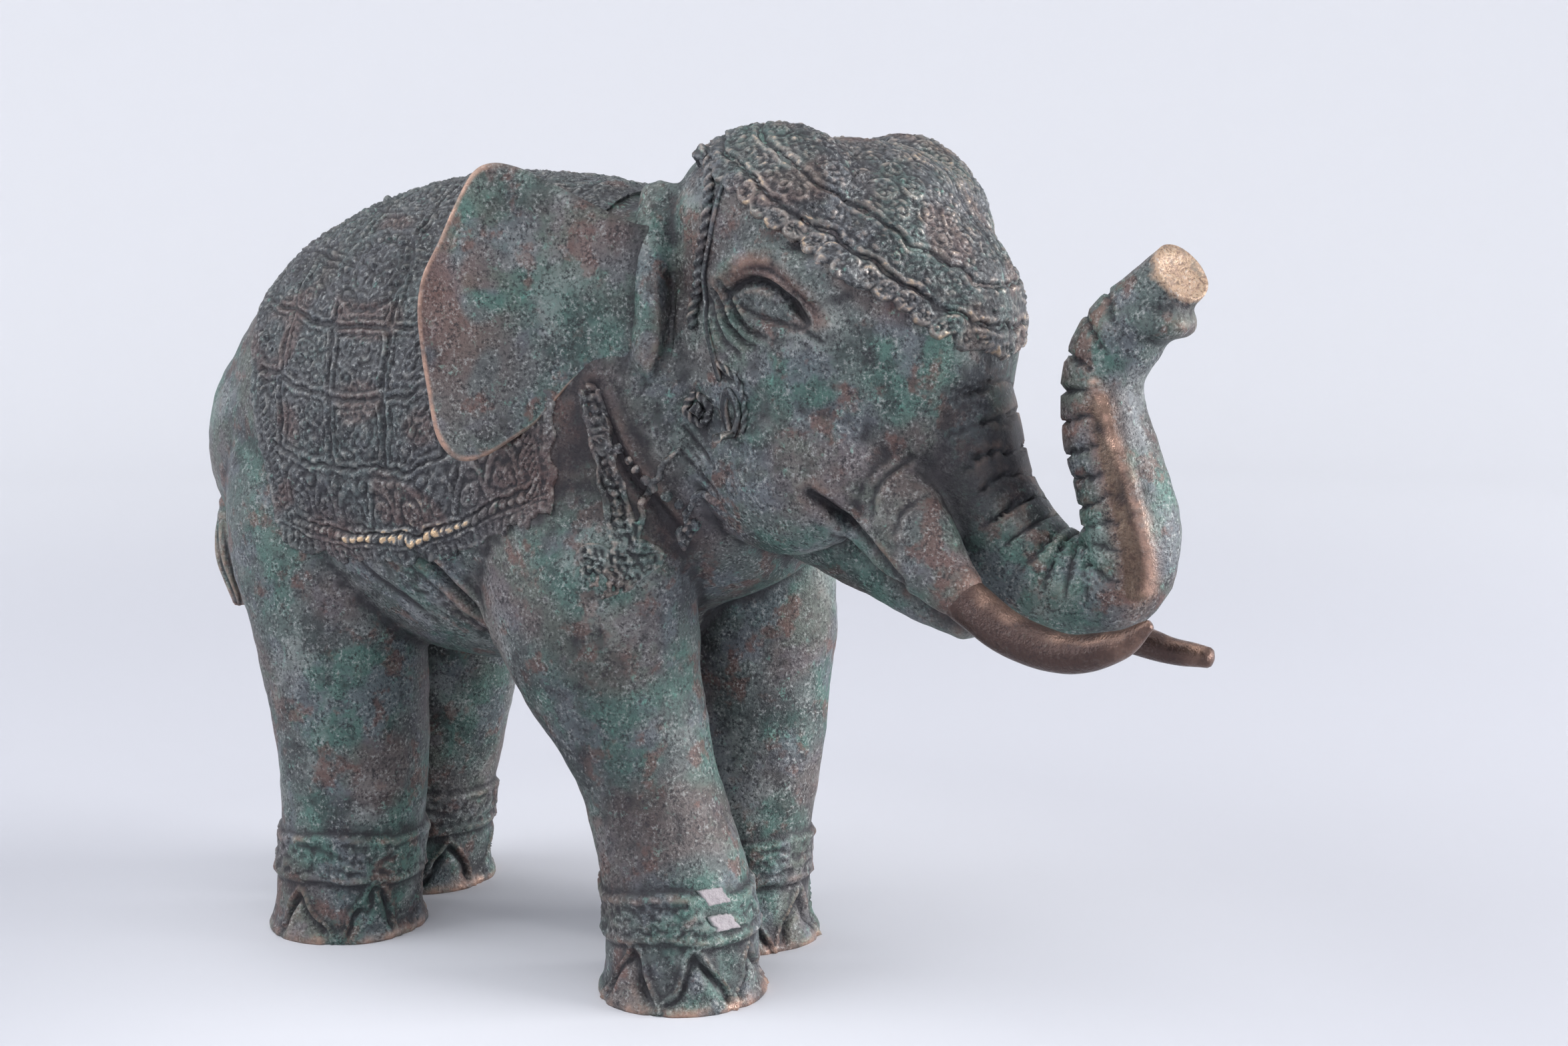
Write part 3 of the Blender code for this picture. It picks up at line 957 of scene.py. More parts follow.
    def tip_plane(self) -> tuple[Array, Array]:
        """The middle and the direction of the trunk's cut tip."""
        return np.array(self.tip, float), unit(np.array(self.tip_facing, float))

    def tip_cut(self, points: Array) -> Array:
        """Cuts the trunk's tip off at a slant, with a shallow hollow in the cut face.

        Args:
            points: the carved points, in grid millimetres.

        Returns:
            The points, with those beyond the plane pushed back to it.
        """
        centre, facing = self.tip_plane()
        off = points - centre
        over = off @ facing
        tip = (points[:, 1] < self.tip_box[0]) & (points[:, 2] > self.tip_box[1])
        radial = np.linalg.norm(off - over[:, None] * facing, axis=1)
        reach, depth = self.tip_hollow
        hollow = depth * rise(reach - radial, 2.4)
        push = np.where(tip & (over > 0), over + hollow, 0)
        return points - push[:, None] * facing

    def dress(self, skin: Piece) -> None:
        """Paints the skin: rubbed ridges, dark hollows, painted shade and highlights, patches of colour.

        Args:
            skin: the finished skin.
        """
        points = skin.points()
        x, y, z = points.T
        coarse, fine = skin.convexity(30), skin.convexity(6)
        patch = lumps(points, 30, 21)
        centre, facing = self.tip_plane()
        facet = self.facet.on(points) * (y < self.raised_trunk)
        face = rise((points - centre) @ facing + 1.1, 0.4)
        face = face * (y < self.tip_box[0]) * (z > self.tip_box[1] + 0.5)
        off, start, height = self.tusk_ends
        tooth = rise(start - y, 9) * bump((np.abs(x) - off) / 5, 1) * bump((z - height) / 9, 1)
        # painted shade under the ear: a dark, reddish band, painted both as darkness and as rust
        under_ear = np.maximum.reduce([stroke.on(points) for stroke in self.ear_shades])
        rusty = [0.85 * self.lid_shade.on(points), 1.3 * facet, 0.8 * tooth, 0.7 * under_ear]
        skin.paint(
            {
                Trace.WEAR: np.maximum.reduce([self.rubbed(points, coarse), 0.35 * face, 0.05 * tooth]),
                Trace.HOLLOW: (self.dirt(points, coarse, fine) + 0.75 * under_ear) * (1 - face),
                Trace.GREEN: rise(patch - 0.1, 1.6) * 0.7,
                Trace.RUST: np.maximum.reduce([*rusty, 0.35 * rise(-patch - 0.5, 0.8)]),
                Trace.BRASS: np.maximum(face, 0.25 * facet),
            }
        )

    def rubbed(self, points: Array, coarse: Array) -> Array:
        """Where hands and the ground rubbed the skin down to the metal, with painted highlights.

        Args:
            points: the skin's points.
            coarse: how far each stands out of its wide surroundings, in millimetres.

        Returns:
            The wear from 0 to 1 on what stands out and on the soles' edges, and painted highlights
            along the trunk's ridge and on the lid.
        """
        _, y, z = points.T
        wear = rise(coarse - 0.5, 0.7) * rise(lumps(points, 12, 22) + 0.2, 1.2) * 0.3
        wear += 0.5 * bump(z - 0.4, 1.1) * rise(lumps(points, 7, 23) - 0.1, 0.9)
        # a painted highlight along the trunk's ridge, in blobs and strongest low down
        ridge = self.trunk_ridge
        shine = Stroke(ridge.path, 1.0, ridge.off_middle).on(points) * (y < self.raised_trunk)
        patchy = np.maximum(rise(lumps(points, 4, 77), 0.6), bump(z - 101, 6))
        shine = shine * (0.35 + 0.65 * patchy)
        # the lid gets a painted highlight
        return np.maximum.reduce([wear, shine, 0.5 * self.lid_gleam.on(points)])

    def dirt(self, points: Array, coarse: Array, fine: Array) -> Array:
        """Where the skin is painted dark: in what is hollow, in the creases and on a patch of the front
        legs, and painted shade in the gap under the lip and at the trunk's root. The shaded valley
        beside the ear's fold is painted lighter.

        Args:
            points: the skin's points.
            coarse: how far each stands out of its wide surroundings, in millimetres.
            fine: how far each stands out of its close surroundings.

        Returns:
            The darkness, from 0 up.
        """
        x = points[:, 0]
        hollow = rise(-fine - 0.04, 0.16) * 0.9 + rise(-coarse - 0.25, 0.7) * 0.5
        for crease in self.creases:
            hollow = np.maximum(hollow, crease.darkness(points))
        # painted shade in the gap between the jaw and the lip above it
        hollow = np.maximum(hollow, self.jaw_gap.on(points) * (np.abs(x) < 14))
        # the shaded valley beside the ear's fold is painted lighter, painted light against its shade
        hollow = hollow * (1 - 0.75 * self.ear_valley.on(points))
        hollow = hollow + 0.4 * self.front_leg_shade.on(points)
        # painted shade on the trunk's root
        middle, half = self.root_shade
        root = bump(np.linalg.norm((points - middle) / half, axis=1), 1)
        return hollow + 1.5 * root

    def scrapes(self, place: Placement) -> list[Piece]:
        """The two flat chips that show bare pale metal, each a thin tilted plate in its cut.

        Args:
            place: where the sculptor's grid lies.

        Returns:
            The two plates, painted.
        """
        pieces = []
        half_long, half_tall = self.chip_half
        for number, (spot, facing) in enumerate(self.chip_planes()):
            across = unit(np.cross(facing, np.array([0, 0, 1.0])))
            upward = np.cross(across, facing)
            u, v = np.meshgrid(np.linspace(-1, 1, 24), np.linspace(-1, 1, 18), indexing="ij")
            lean = 0.35 * v - 0.12 * u
            inset = 1 - 0.06 * lumps(np.stack([8 * u, 8 * v, 0 * u], -1), 5, 98 + number)
            flat = across * (half_long * (u * inset + lean))[..., None]
            flat = flat + upward * (half_tall * v * inset)[..., None]
            edge = np.maximum(np.abs(u), np.abs(v))
            lift = 0.1 - 0.5 * rise(edge - 0.93, 0.12) + 0.05 * lumps(spot + flat, 2.2, 97)
            sheet = spot + flat + facing * lift[..., None]
            piece = Piece(f"scrape_{number}", Shell.of_sheet(sheet, spot - 2 * facing), place)
            piece.paint({Trace.CHIP: 1 - 0.7 * rise(edge - 0.9, 0.1).ravel()})
            pieces.append(piece)
        return pieces


# Ornament laid on the skin


@dataclass(frozen=True)
class Laid:
    """A fine grid that lies on the skin, with the direction out of the skin at each point."""

    points: Array
    normals: Array

    def raised(self, height: Array) -> Array:
        """The grid at this height above the skin."""
        return self.points + self.normals * height[..., None]

    def lengths(self, axis: int) -> Array:
        """The way along the grid.

        Args:
            axis: 0 to go from row to row and 1 to go from column to column.

        Returns:
            The distance from the first row or column, in millimetres.
        """
        steps = np.linalg.norm(np.diff(self.points, axis=axis), axis=-1)
        start = np.zeros_like(np.take(steps, [0], axis=axis))
        return np.concatenate([start, np.cumsum(steps, axis=axis)], axis=axis)


def laid_on(skin: Piece, base: Array, outward: Array, rounds: int) -> Laid:
    """Drops a grid of points onto the skin.

    Args:
        skin: what it falls on.
        base: the grid, a little outside the skin, shape (rows, columns, 3).
        outward: roughly the direction out of the body at each point.
        rounds: how often the landed grid is evened out.

    Returns:
        The grid on the skin.
    """
    rows, columns, _ = base.shape
    quads = grid_quads(rows, columns)
    facing = np.cross(np.gradient(base, axis=0), np.gradient(base, axis=1))
    if (facing * outward).sum() > 0:
        quads = quads[:, ::-1]
    shell = Shell(base.reshape(-1, 3), quads, np.empty((0, 3), int))
    probe = Piece("probe", shell, skin.place, closed=False)
    settings = {"target": skin.item, "wrap_method": "PROJECT", "use_negative_direction": True}
    landed = probe.modified("SHRINKWRAP", {**settings, "use_positive_direction": False})
    probe.remove()
    points = evened(landed.reshape(base.shape), rounds)
    normals = unit(np.cross(np.gradient(points, axis=0), np.gradient(points, axis=1)))
    normals = normals * np.sign((normals * outward).sum(axis=-1, keepdims=True))
    return Laid(points, normals)


def scroll(across: Array, up: Array, reach: float, pitch: float, turn: Array | float) -> Array:
    """A spiral of thread with a bead in its middle.

    Args:
        across: distance from the spiral's centre one way.
        up: distance from it the other way.
        reach: the spiral's radius.
        pitch: the distance between its turns.
        turn: 1 or -1, the way it winds.

    Returns:
        The height of the thread, in millimetres.
    """
    radius, angle = np.hypot(across, up), np.arctan2(up, across)
    phase = radius / pitch - turn * angle / (2 * math.pi)
    off = (phase - np.round(phase)) * pitch
    return np.maximum(thread(off, pitch * 0.27) * (radius < reach), thread(radius, pitch * 0.42))


def rosette(across: Array, up: Array, reach: float, petals: int) -> Array:
    """A flower: a bead, a ring of petals and a round thread about it.

    Args:
        across: distance from the flower's middle one way.
        up: distance from it the other way.
        reach: the radius of the round thread.
        petals: how many petals the cosine of the angle makes.

    Returns:
        The height of the flower, in millimetres.
    """
    radius, angle = np.hypot(across, up), np.arctan2(up, across)
    petal = 0.7 * np.abs(np.cos(petals * angle / 2)) * bump(radius - 0.55 * reach, 0.26 * reach)
    return np.maximum.reduce([thread(radius, 0.24 * reach), petal, thread(radius - reach, 0.5)])


def crust(points: Array, size: float, seed: int) -> Array:
    """Crumbs of wax and scale: rounded grains with gaps between them, 0 to 1."""
    thick = 0.6 + 0.4 * rise(lumps(points, 3 * size, seed + 1), 1.6)
    return rise(lumps(points, size, seed) + 0.1, 1.5) * thick


def beads(across: Array, up: Array, path: Sequence[Sequence[float]], pitch: float) -> Array:
    """A row of beads along a path on the flat.

    Args:
        across: the points' first place.
        up: the points' second place.
        path: the path's points, in the same two places.
        pitch: the distance between the beads.

    Returns:
        The height of the beads, in millimetres.
    """
    fine = through(path, 200)
    lengths = lengths_along(fine)
    count = max(int(lengths[-1] / pitch), 2)
    stops = np.linspace(0, lengths[-1], count)
    middles = np.stack([np.interp(stops, lengths, fine[:, k]) for k in range(2)], axis=1)
    return thread(distance_to(middles, np.stack([across, up], -1)), 0.46 * pitch)


@dataclass(kw_only=True)
class Ornament:
    """A fine sheet of relief that lies on the skin and dives under it where it ends.

    Its plain ground stands the base height off the skin, its border sinks as deep as the dive,
    and the apex is the point inside the body that closes it. The tone is how much of its own
    colour it shows. The two spots are reddish places, their y, z and half sizes: the first is
    painted shade under the ear, the second a reddish stain.
    """

    rows: int
    columns: int
    base_height: float
    dive: float
    apex: Row
    tone: float = 1.0
    stains: Rows = ((-27, 114, 13, 13), (28, 99, 9, 5))

    def sheet(
        self, name: str, skin: Piece, laid: Laid, raised: Array, relief: Array, glow: Array
    ) -> Piece:
        """Makes the sheet and paints it dark between the threads and rubbed on top of them.

        Args:
            name: the piece's name.
            skin: the finished skin.
            laid: the grid on the skin.
            raised: 1 where the ornament shows and 0 where the sheet is under the skin.
            relief: the height above the plain ground, in millimetres.
            glow: how much the high places are rubbed bright, 0 to 1.

        Returns:
            The painted sheet.
        """
        height = raised * (self.base_height + relief + self.dive) - self.dive
        shell = Shell.of_sheet(laid.raised(height), np.array(self.apex, float))
        piece = Piece(name, shell, skin.place)
        proud = (height - evened(height, 14)).ravel()
        points, bright = piece.points()[: height.size], glow.ravel()
        _, y, z = points.T
        patchy = np.maximum(rise(lumps(points, 2.4, 31) - 0.35, 0.7), 0.8 * rise(bright - 0.75, 0.3))
        reddish = 0.5 * rise(lumps(points, 17, 37) - 0.8, 0.8)
        # reddish tint: painted shade under the ear, and a reddish stain
        for middle_y, middle_z, long, tall in self.stains:
            stain = bump(np.hypot((y - middle_y) / long, (z - middle_z) / tall), 1)
            reddish = np.maximum(reddish, 0.7 * stain)
        piece.paint(
            {
                Trace.WEAR: rise(proud - 0.16, 0.3) * bright * patchy,
                Trace.HOLLOW: 0.95 * rise(-proud - 0.05, 0.24),
                Trace.ORNAMENT: self.tone * raised.ravel(),
                Trace.GREEN: 0.25 * rise(lumps(points, 26, 33) - 0.3, 1),
                Trace.RUST: reddish,
            }
        )
        return piece


@dataclass(kw_only=True)
class SaddleCloth(Ornament):
    """One side of the saddle cloth: compartments with scrolls, a band of arcs, beads, a fringe.

    Places on the cloth are y along the body and the way above the hem over the surface.
    """

    anatomy: Anatomy
    rows: int = 300
    columns: int = 300
    front: float = -33
    rear: float = 46
    rear_lean: float = 0.3
    grid_end: float = 74
    hem: Rows = (
        (-40, 110), (-30, 106.5), (-17, 101), (-4, 96.4), (9, 93.6),
        (22, 92.8), (35, 94.2), (53, 98.4), (74, 104),
    )
    cell: Row = (16.4, 15.6)
    cell_start: float = 9.5
    band_top: float = 22
    band_low: float = 9.2
    arc_period: float = 8.2
    bead_pitch: float = 2.3
    bead_row: float = 6.2
    fringe_pitch: float = 1.9
    edge_band: float = 7.4
    medallion: Row = (17.8, 67, 11)
    base_height: float = 0.6
    clearance: float = 14
    dive: float = 2.8
    apex: Row = (0, 15, 122)

    def base(self, side: Side) -> tuple[Array, Array]:
        """The grid outside the body and the direction out of it.

        Args:
            side: which half of the cloth.

        Returns:
            Points from the spine down to below the hem, row by row along the body, and the
            directions from the body's middle line to them. Each row is an arc of the body's
            superellipse, widened by the clearance.
        """
        way = self.anatomy.body.course(400)
        y = np.linspace(self.front - 3, self.grid_end, self.rows)
        middle = np.interp(y, way.middle[:, 1], way.middle[:, 2])
        wide, deep = (np.interp(y, way.middle[:, 1], half) for half in way.half.T)
        share = 2 / self.anatomy.body.fullness
        drop = middle - np.interp(y, *zip(*self.hem)) + 8
        low = np.clip(drop / deep, 0.1, 0.9) ** (1 / share)
        part = np.linspace(0, 1, self.columns)
        angle = math.pi / 2 - part * (math.pi / 2 + np.arcsin(low))[:, None]
        out = np.sign(np.cos(angle)) * np.abs(np.cos(angle)) ** share
        up = np.sign(np.sin(angle)) * np.abs(np.sin(angle)) ** share
        x = side.value * (wide + self.clearance)[:, None] * out
        z = middle[:, None] + (deep + self.clearance)[:, None] * up
        base = np.stack([x, y[:, None] + 0 * x, z], axis=-1)
        return base, base - np.stack([0 * y, y, middle], axis=-1)[:, None]

    def pattern(self, y: Array, above: Array, behind: Array, ahead: Array) -> Array:
        """The relief of the cloth.

        Args:
            y: place along the body.
            above: distance above the hem, over the surface.
            behind: distance from the rear edge.
            ahead: distance from the front edge.

        Returns:
            Height above the plain cloth, in millimetres.
        """
        field = np.where(above > self.band_top - 0.2, self.cells(y, above), self.band(y, above))
        edge = np.minimum(behind, ahead)
        border = 0.6 * thread(edge - 4.6, 0.5) + 0.5 * thread(edge - 1.6, 0.6)
        border = border - 0.4 * bump(edge - 3.2, 0.5)
        rope = 0.8 * thread(np.mod(y + above, 1.9) - 0.95, 0.75) * (np.abs(edge - 6.3) < 1.1)
        return np.where((edge < self.edge_band) & (above > 5), np.maximum(border, rope), field)

    def cells(self, y: Array, above: Array) -> Array:
        """The compartments, by turns with four curls and with a flower, and one medallion.

        Args:
            y: place along the body.
            above: distance above the hem, over the surface.

        Returns:
            Height above the plain cloth, in millimetres.
        """
        wide, tall = self.cell
        across = np.mod(y - self.cell_start, wide)
        up = np.mod(above - self.band_top, tall)
        line = np.minimum(np.minimum(across, wide - across), np.minimum(up, tall - up))
        column = np.floor((y - self.cell_start) / wide)
        row = np.floor((above - self.band_top) / tall)
        parity = np.mod(column + row, 2) > 0.5
        p, q = across - wide / 2, up - tall / 2
        turn = np.where(parity, 1.0, -1.0)
        quarter = scroll(np.abs(p) - 3.0, np.abs(q) - 2.9, 2.6, 1.5, np.sign(p * q) * turn)
        corner = scroll(np.abs(p) - 4.6, np.abs(q) - 4.4, 1.9, 1.5, turn)
        curls = np.maximum(quarter, thread(np.hypot(p, q), 1.2))
        fill = np.where(parity, curls, np.maximum(rosette(p, q, 3.3, 6), corner))
        rail = 0.75 * thread(line - 1.15, 0.5) - 0.55 * bump(line, 0.5) - 0.35 * bump(line - 2.1, 0.4)
        cells = np.where(line > 2.2, np.maximum(fill, 0), rail)
        centre_y, centre_up, reach = self.medallion
        off_y, off_up = y - centre_y, above - centre_up
        radius = np.hypot(off_y, off_up)
        disc = np.maximum(rosette(off_y, off_up, 6.4, 9), 0.8 * thread(radius - reach, 0.6))
        pearl = np.hypot(radius - 8.7, 8.7 * self.spoke_angle(off_y, off_up, 24))
        return np.where(radius < reach + 0.7, np.maximum(disc, thread(pearl, 0.8)), cells)

    @staticmethod
    def spoke_angle(across: Array, up: Array, count: int) -> Array:
        """The angle to the nearest of so many spokes.

        Args:
            across: distance from the hub one way.
            up: distance from it the other way.
            count: how many spokes stand about the hub.

        Returns:
            The angle, in radians.
        """
        step = 2 * math.pi / count
        angle = np.arctan2(up, across)
        return angle - np.round(angle / step) * step

    def band(self, y: Array, above: Array) -> Array:
        """The band along the hem: arcs over flowers, a row of beads between threads, ribs.

        Args:
            y: place along the body.
            above: distance above the hem, over the surface.

        Returns:
            Height above the plain cloth, in millimetres.
        """
        period, low, high = self.arc_period, self.band_low, self.band_top - 1.8
        along = np.mod(y, period) - period / 2
        arc = np.hypot(along / (0.46 * period), (above - low) / (high - low - 1.5))
        arcs = 0.9 * thread((arc - 1) * 4, 0.6) * (above > low)
        flowers = rosette(along, above - low - 3, 1.9, 5)
        studs = thread(np.hypot(np.abs(along) - period / 2, above - high + 1.9), 1.2)
        threads = thread(above - high - 0.9, 0.5) + thread(above - low + 0.9, 0.5)
        threads = 0.8 * (threads + thread(above - 4.2, 0.5))
        grooves = 0.5 * (bump(above - high - 1.8, 0.4) + bump(above - low + 1.8, 0.4))
        step = np.mod(y, self.bead_pitch) - self.bead_pitch / 2
        row = 1.1 * thread(np.hypot(step, above - self.bead_row), 1.05)
        rib = 0.5 * np.abs(np.sin(math.pi * y / self.fringe_pitch)) * rise(3.4 - above, 0.8)
        return np.maximum.reduce([arcs, flowers, studs, threads, row, rib]) - grooves

    def build(self, side: Side, skin: Piece) -> Piece:
        """Lays this side's half of the cloth on the skin.

        Args:
            side: which half.
            skin: the finished skin.

        Returns:
            The painted sheet.
        """
        laid = laid_on(skin, *self.base(side), rounds=8)
        points = laid.points
        y, z = points[..., 1], points[..., 2]
        y = y + 0.45 * lumps(points, 13, 41) + 0.22 * lumps(points, 4, 46)
        down = laid.lengths(1)
        hem_z = np.interp(y, *through(self.hem, 90).T)
        first = np.clip((z > hem_z).sum(axis=1) - 1, 0, self.columns - 1)
        above = evened(np.take_along_axis(down, first[:, None], axis=1) - down, 14)
        above = above + 0.4 * lumps(points, 15, 42) + 0.22 * lumps(points, 4, 47)
        fringe = 0.5 * np.abs(np.sin(math.pi * y / self.fringe_pitch)) + 0.7 * lumps(points, 7, 43)
        behind = self.rear + self.rear_lean * (z - hem_z) - y
        ahead = y - self.front + 1.3 * lumps(points, 9, 50)
        raised = rise(np.minimum(np.minimum(above + fringe, behind), ahead), 1.3)
        ruined = 0.45 + 0.55 * rise(lumps(points, 5, 44) + 0.7, 1.2)
        relief = self.pattern(y, above, behind, ahead) * ruined + 0.36 * crust(points, 1.9, 48)
        glow = self.glow(points, y, above)
        piece = self.sheet(side.named("cloth"), skin, laid, raised, relief, glow)
        smooth = np.arange(len(piece.item.data.polygons)) < (self.rows - 1) * (self.columns - 1)
        piece.item.data.polygons.foreach_set("use_smooth", smooth)
        return piece

    def glow(self, points: Array, y: Array, above: Array) -> Array:
        """How bright the cloth is rubbed: most on the beads and on a glint of the band.

        Args:
            points: the grid on the skin.
            y: place along the body.
            above: distance above the hem, over the surface.

        Returns:
            The brightness, from 0 up.
        """
        patchy = rise(lumps(points, 6, 45) + 0.5, 1)
        glow = 0.26 + bump(above - 6.4, 2.2) * bump((y - 10) / 26, 1) * patchy
        glint = bump((above - 13) / 6, 1) * bump((y + 1) / 9, 1)
        return glow + 0.7 * glint * rise(lumps(points, 5, 49), 1)


@dataclass(kw_only=True)
class HeadCap(Ornament):
    """The ornamented cap over the forehead, down to a point on the trunk's root.

    It is a fan of rows that go forward along the slant of the head. The reach and the widths
    are pairs: a place along the slant, and there the fan's radius and the cap's half width.
    """

    rows: int = 230
    columns: int = 230
    apex: Row = (0, -84, 140)
    slant: float = math.radians(35.8)
    along: Row = (-48, 38)
    half_turn: float = math.radians(66)
    reach: Rows = ((-48, 52), (-10, 50), (38, 21))
    edge_start: Row = (-62, 180)
    back: float = -57
    widths: Rows = ((-50, 44), (4, 36), (12, 29), (20, 19), (27, 11), (33, 5), (37, -1))
    disc_pitch: float = 4.1
    curl_pitch: float = 3.6
    field_pitch: float = 5.6
    parting: float = 2.3
    base_height: float = 0.55
    dive: float = 1.3
    tone: float = 0.6

    def build(self, skin: Piece) -> Piece:
        """Lays the cap on the skin.

        Args:
            skin: the finished skin.

        Returns:
            The painted sheet.
        """
        forward = np.array([0, -math.cos(self.slant), -math.sin(self.slant)])
        upward = np.array([0, -math.sin(self.slant), math.cos(self.slant)])
        along = np.linspace(*self.along, self.rows)[:, None]
        turn = np.linspace(-self.half_turn, self.half_turn, self.columns)[None, :]
        out = np.cos(turn)[..., None] * upward + np.sin(turn)[..., None] * np.array([1.0, 0, 0])
        start = np.array(self.apex, float)
        reach = np.interp(along, *zip(*self.reach))[..., None]
        base = start + along[..., None] * forward + reach * out
        laid = laid_on(skin, base, np.broadcast_to(out, base.shape), rounds=6)
        points = laid.points
        x, y, z = np.moveaxis(points, -1, 0)
        edge = self.edge_start[1] - math.tan(self.slant) * (self.edge_start[0] - y)
        wobble = 0.45 * lumps(points, 10, 51) + 0.2 * lumps(points, 4, 54)
        above = (z - edge) * math.cos(self.slant) + wobble
        a = (points - start) @ forward
        above = np.minimum(above, np.interp(a, *zip(*self.widths)) - np.abs(x))
        inside = np.minimum(above, self.back - y)
        scallop = 1.0 * np.abs(np.sin(math.pi * a / self.disc_pitch))
        raised = rise(inside + scallop - 0.6, 1.1)
        ruined = 0.5 + 0.5 * rise(lumps(points, 4.5, 52) + 0.6, 1.2)
        relief = self.pattern(a, above, x, laid) * ruined + 0.28 * crust(points, 1.7, 55)
        glow = 0.5 + 0.3 * rise(lumps(points, 15, 53), 1)
        return self.sheet("head_cap", skin, laid, raised, relief, glow)

    def pattern(self, a: Array, above: Array, x: Array, laid: Laid) -> Array:
        """The cap's relief: a double band along its edge and a field of scrolls and flowers.

        Args:
            a: place along the slant of the head.
            above: distance above the cap's edge.
            x: place across the head.
            laid: the grid on the skin.

        Returns:
            Height above the plain cap, in millimetres.
        """
        rails = thread(above - 5.9, 0.5) + thread(above - 10.6, 0.5) + thread(above - 12.2, 0.4)
        grooves = 0.9 * (bump(above - 5, 0.4) + bump(above - 11.4, 0.4))
        beside = np.mod(a, self.disc_pitch) - self.disc_pitch / 2
        discs = 1.15 * rosette(beside, above - 2.3, 1.7, 5) * (above < 4.6)
        beside = np.mod(a + 2.3, self.curl_pitch) - self.curl_pitch / 2
        upper = scroll(beside, above - 8.2, 1.6, 1.3, 1.0) * (above > 6.4) * (above < 10)
        arc = laid.lengths(1)
        arc = arc - arc[:, arc.shape[1] // 2][:, None]
        pitch = self.field_pitch
        row = np.floor(arc / pitch)
        shift = a + 0.5 * pitch * np.mod(row, 2)
        column = np.floor(shift / pitch)
        p, q = np.mod(shift, pitch) - pitch / 2, np.mod(arc, pitch) - pitch / 2
        turn = np.where(np.mod(row + column, 2) > 0.5, 1.0, -1.0)
        flowers = np.mod(row * 2 + column, 3) > 1.5
        fill = np.where(flowers, rosette(p, q, 2.3, 6), scroll(p, q, 2.5, 1.35, turn)) * (above > 12.9)
        middle = 0.8 * thread(np.abs(x) - 1.6, 0.5) * (a > -30)
        fill = np.where(np.abs(x) < self.parting, middle, fill)
        return np.maximum.reduce([0.7 * rails, np.maximum(discs, upper), fill]) - grooves


@dataclass(kw_only=True)
class Breastwork(Ornament):
    """The worn cords, beads and tassels on the neck and the shoulder, in one patch a side.

    Paths are y, z on the side; a tassel is the y, z and the radius of its flower.
    """

    rows: int = 156
    columns: int = 156
    along: Row = (-75, -31)
    top: float = 137
    lower_edge: Rows = (
        (-76, 111), (-66, 108.5), (-61, 104.5), (-55, 97),
        (-48, 89.5), (-40, 87), (-30, 90),
    )
    cords: tuple[Rows, ...] = (
        ((-38.4, 133), (-41, 123), (-43, 110), (-45.5, 100)),
        ((-41.6, 133), (-44, 123), (-46.4, 112), (-48.4, 102)),
        ((-58, 121), (-54, 117), (-50.4, 110), (-48.6, 102)),
        ((-73, 108.6), (-67, 109.6), (-62, 111.6), (-58.4, 108), (-57.4, 104)),
    )
    strings: tuple[Rows, ...] = (
        ((-39.9, 134), (-42.5, 123), (-44.8, 111), (-47, 101)),
        ((-46, 121), (-49.6, 116.8), (-52.6, 113), (-56.7, 109.7), (-59, 105)),
    )
    tassels: Rows = ((-48.2, 97.6, 4.4), (-58.2, 101.6, 3.2), (-41.6, 98.6, 2.6))
    bead_pitch: float = 2.1
    strand_pitch: float = 1.6
    base_height: float = 0
    dive: float = 1.5
    apex: Row = (0, -48, 118)
    tone: float = 0.5

    def build(self, side: Side, skin: Piece) -> Piece:
        """Lays the patch on the skin, showing only where something is on it.

        Args:
            side: which side of the neck.
            skin: the finished skin.

        Returns:
            The painted patch.
        """
        y = np.linspace(*self.along, self.rows)[:, None]
        low = np.interp(y, *zip(*self.lower_edge))
        z = low + np.linspace(0, 1, self.columns)[None, :] * (self.top - low)
        base = np.stack([side.value * 60 + 0 * z, y + 0 * z, z], axis=-1)
        laid = laid_on(skin, base, np.broadcast_to([side.value, 0.0, 0.0], base.shape), rounds=12)
        points = laid.points
        pattern = self.pattern(points)
        shown = rise(evened(pattern, 4) - 0.1, 0.25)
        sides = np.minimum(y - self.along[0], self.along[1] - y)
        rim = np.minimum(sides, np.minimum(z - low, self.top - z))
        raised = shown * (rise(np.abs(points[..., 0]) - 24, 3) * rise(rim - 1.5, 1))
        ruined = 0.2 + 0.8 * rise(lumps(points, 5, 92) + 0.4, 1.2)
        relief = pattern * ruined + 0.65 * crust(points, 1.7, 93)
        glow = 0.15 + 0.3 * rise(lumps(points, 12, 94), 1)
        return self.sheet(side.named("breastwork"), skin, laid, raised, relief, glow)

    def pattern(self, points: Array) -> Array:
        """The relief of the patch.

        Args:
            points: the grid on the skin.

        Returns:
            Height above the skin, in millimetres: round cords, strings of beads, and tassels
            as a flower with ribs that hang from it.
        """
        warp = points + 0.4 * lumps(points, 6, 91)[..., None]
        p, q = warp[..., 1], warp[..., 2]
        relief = np.zeros(p.shape)
        for path in self.cords:
            gap = distance_to(through(path, 120), warp[..., 1:])
            relief = np.maximum(relief, 0.9 * thread(gap, 0.7))
        for path in self.strings:
            relief = np.maximum(relief, beads(p, q, path, self.bead_pitch))
        for centre_y, centre_z, reach in self.tassels:
            off_y, off_z = p - centre_y, q - centre_z
            within = np.abs(off_y) < reach * 0.8 + 0.14 * (-off_z)
            strands = 1.3 * np.abs(np.cos(math.pi * off_y / self.strand_pitch)) * within
            hanging = strands * rise(-off_z - reach + 0.4, 0.6) * rise(off_z + 2.3 * reach, 2)
            hanging = hanging * (0.2 + 0.8 * rise(lumps(points, 4, 96) - 0.1, 0.8))
            relief = np.maximum.reduce([relief, 1.2 * rosette(off_y, off_z, reach, 6), hanging])
        return relief


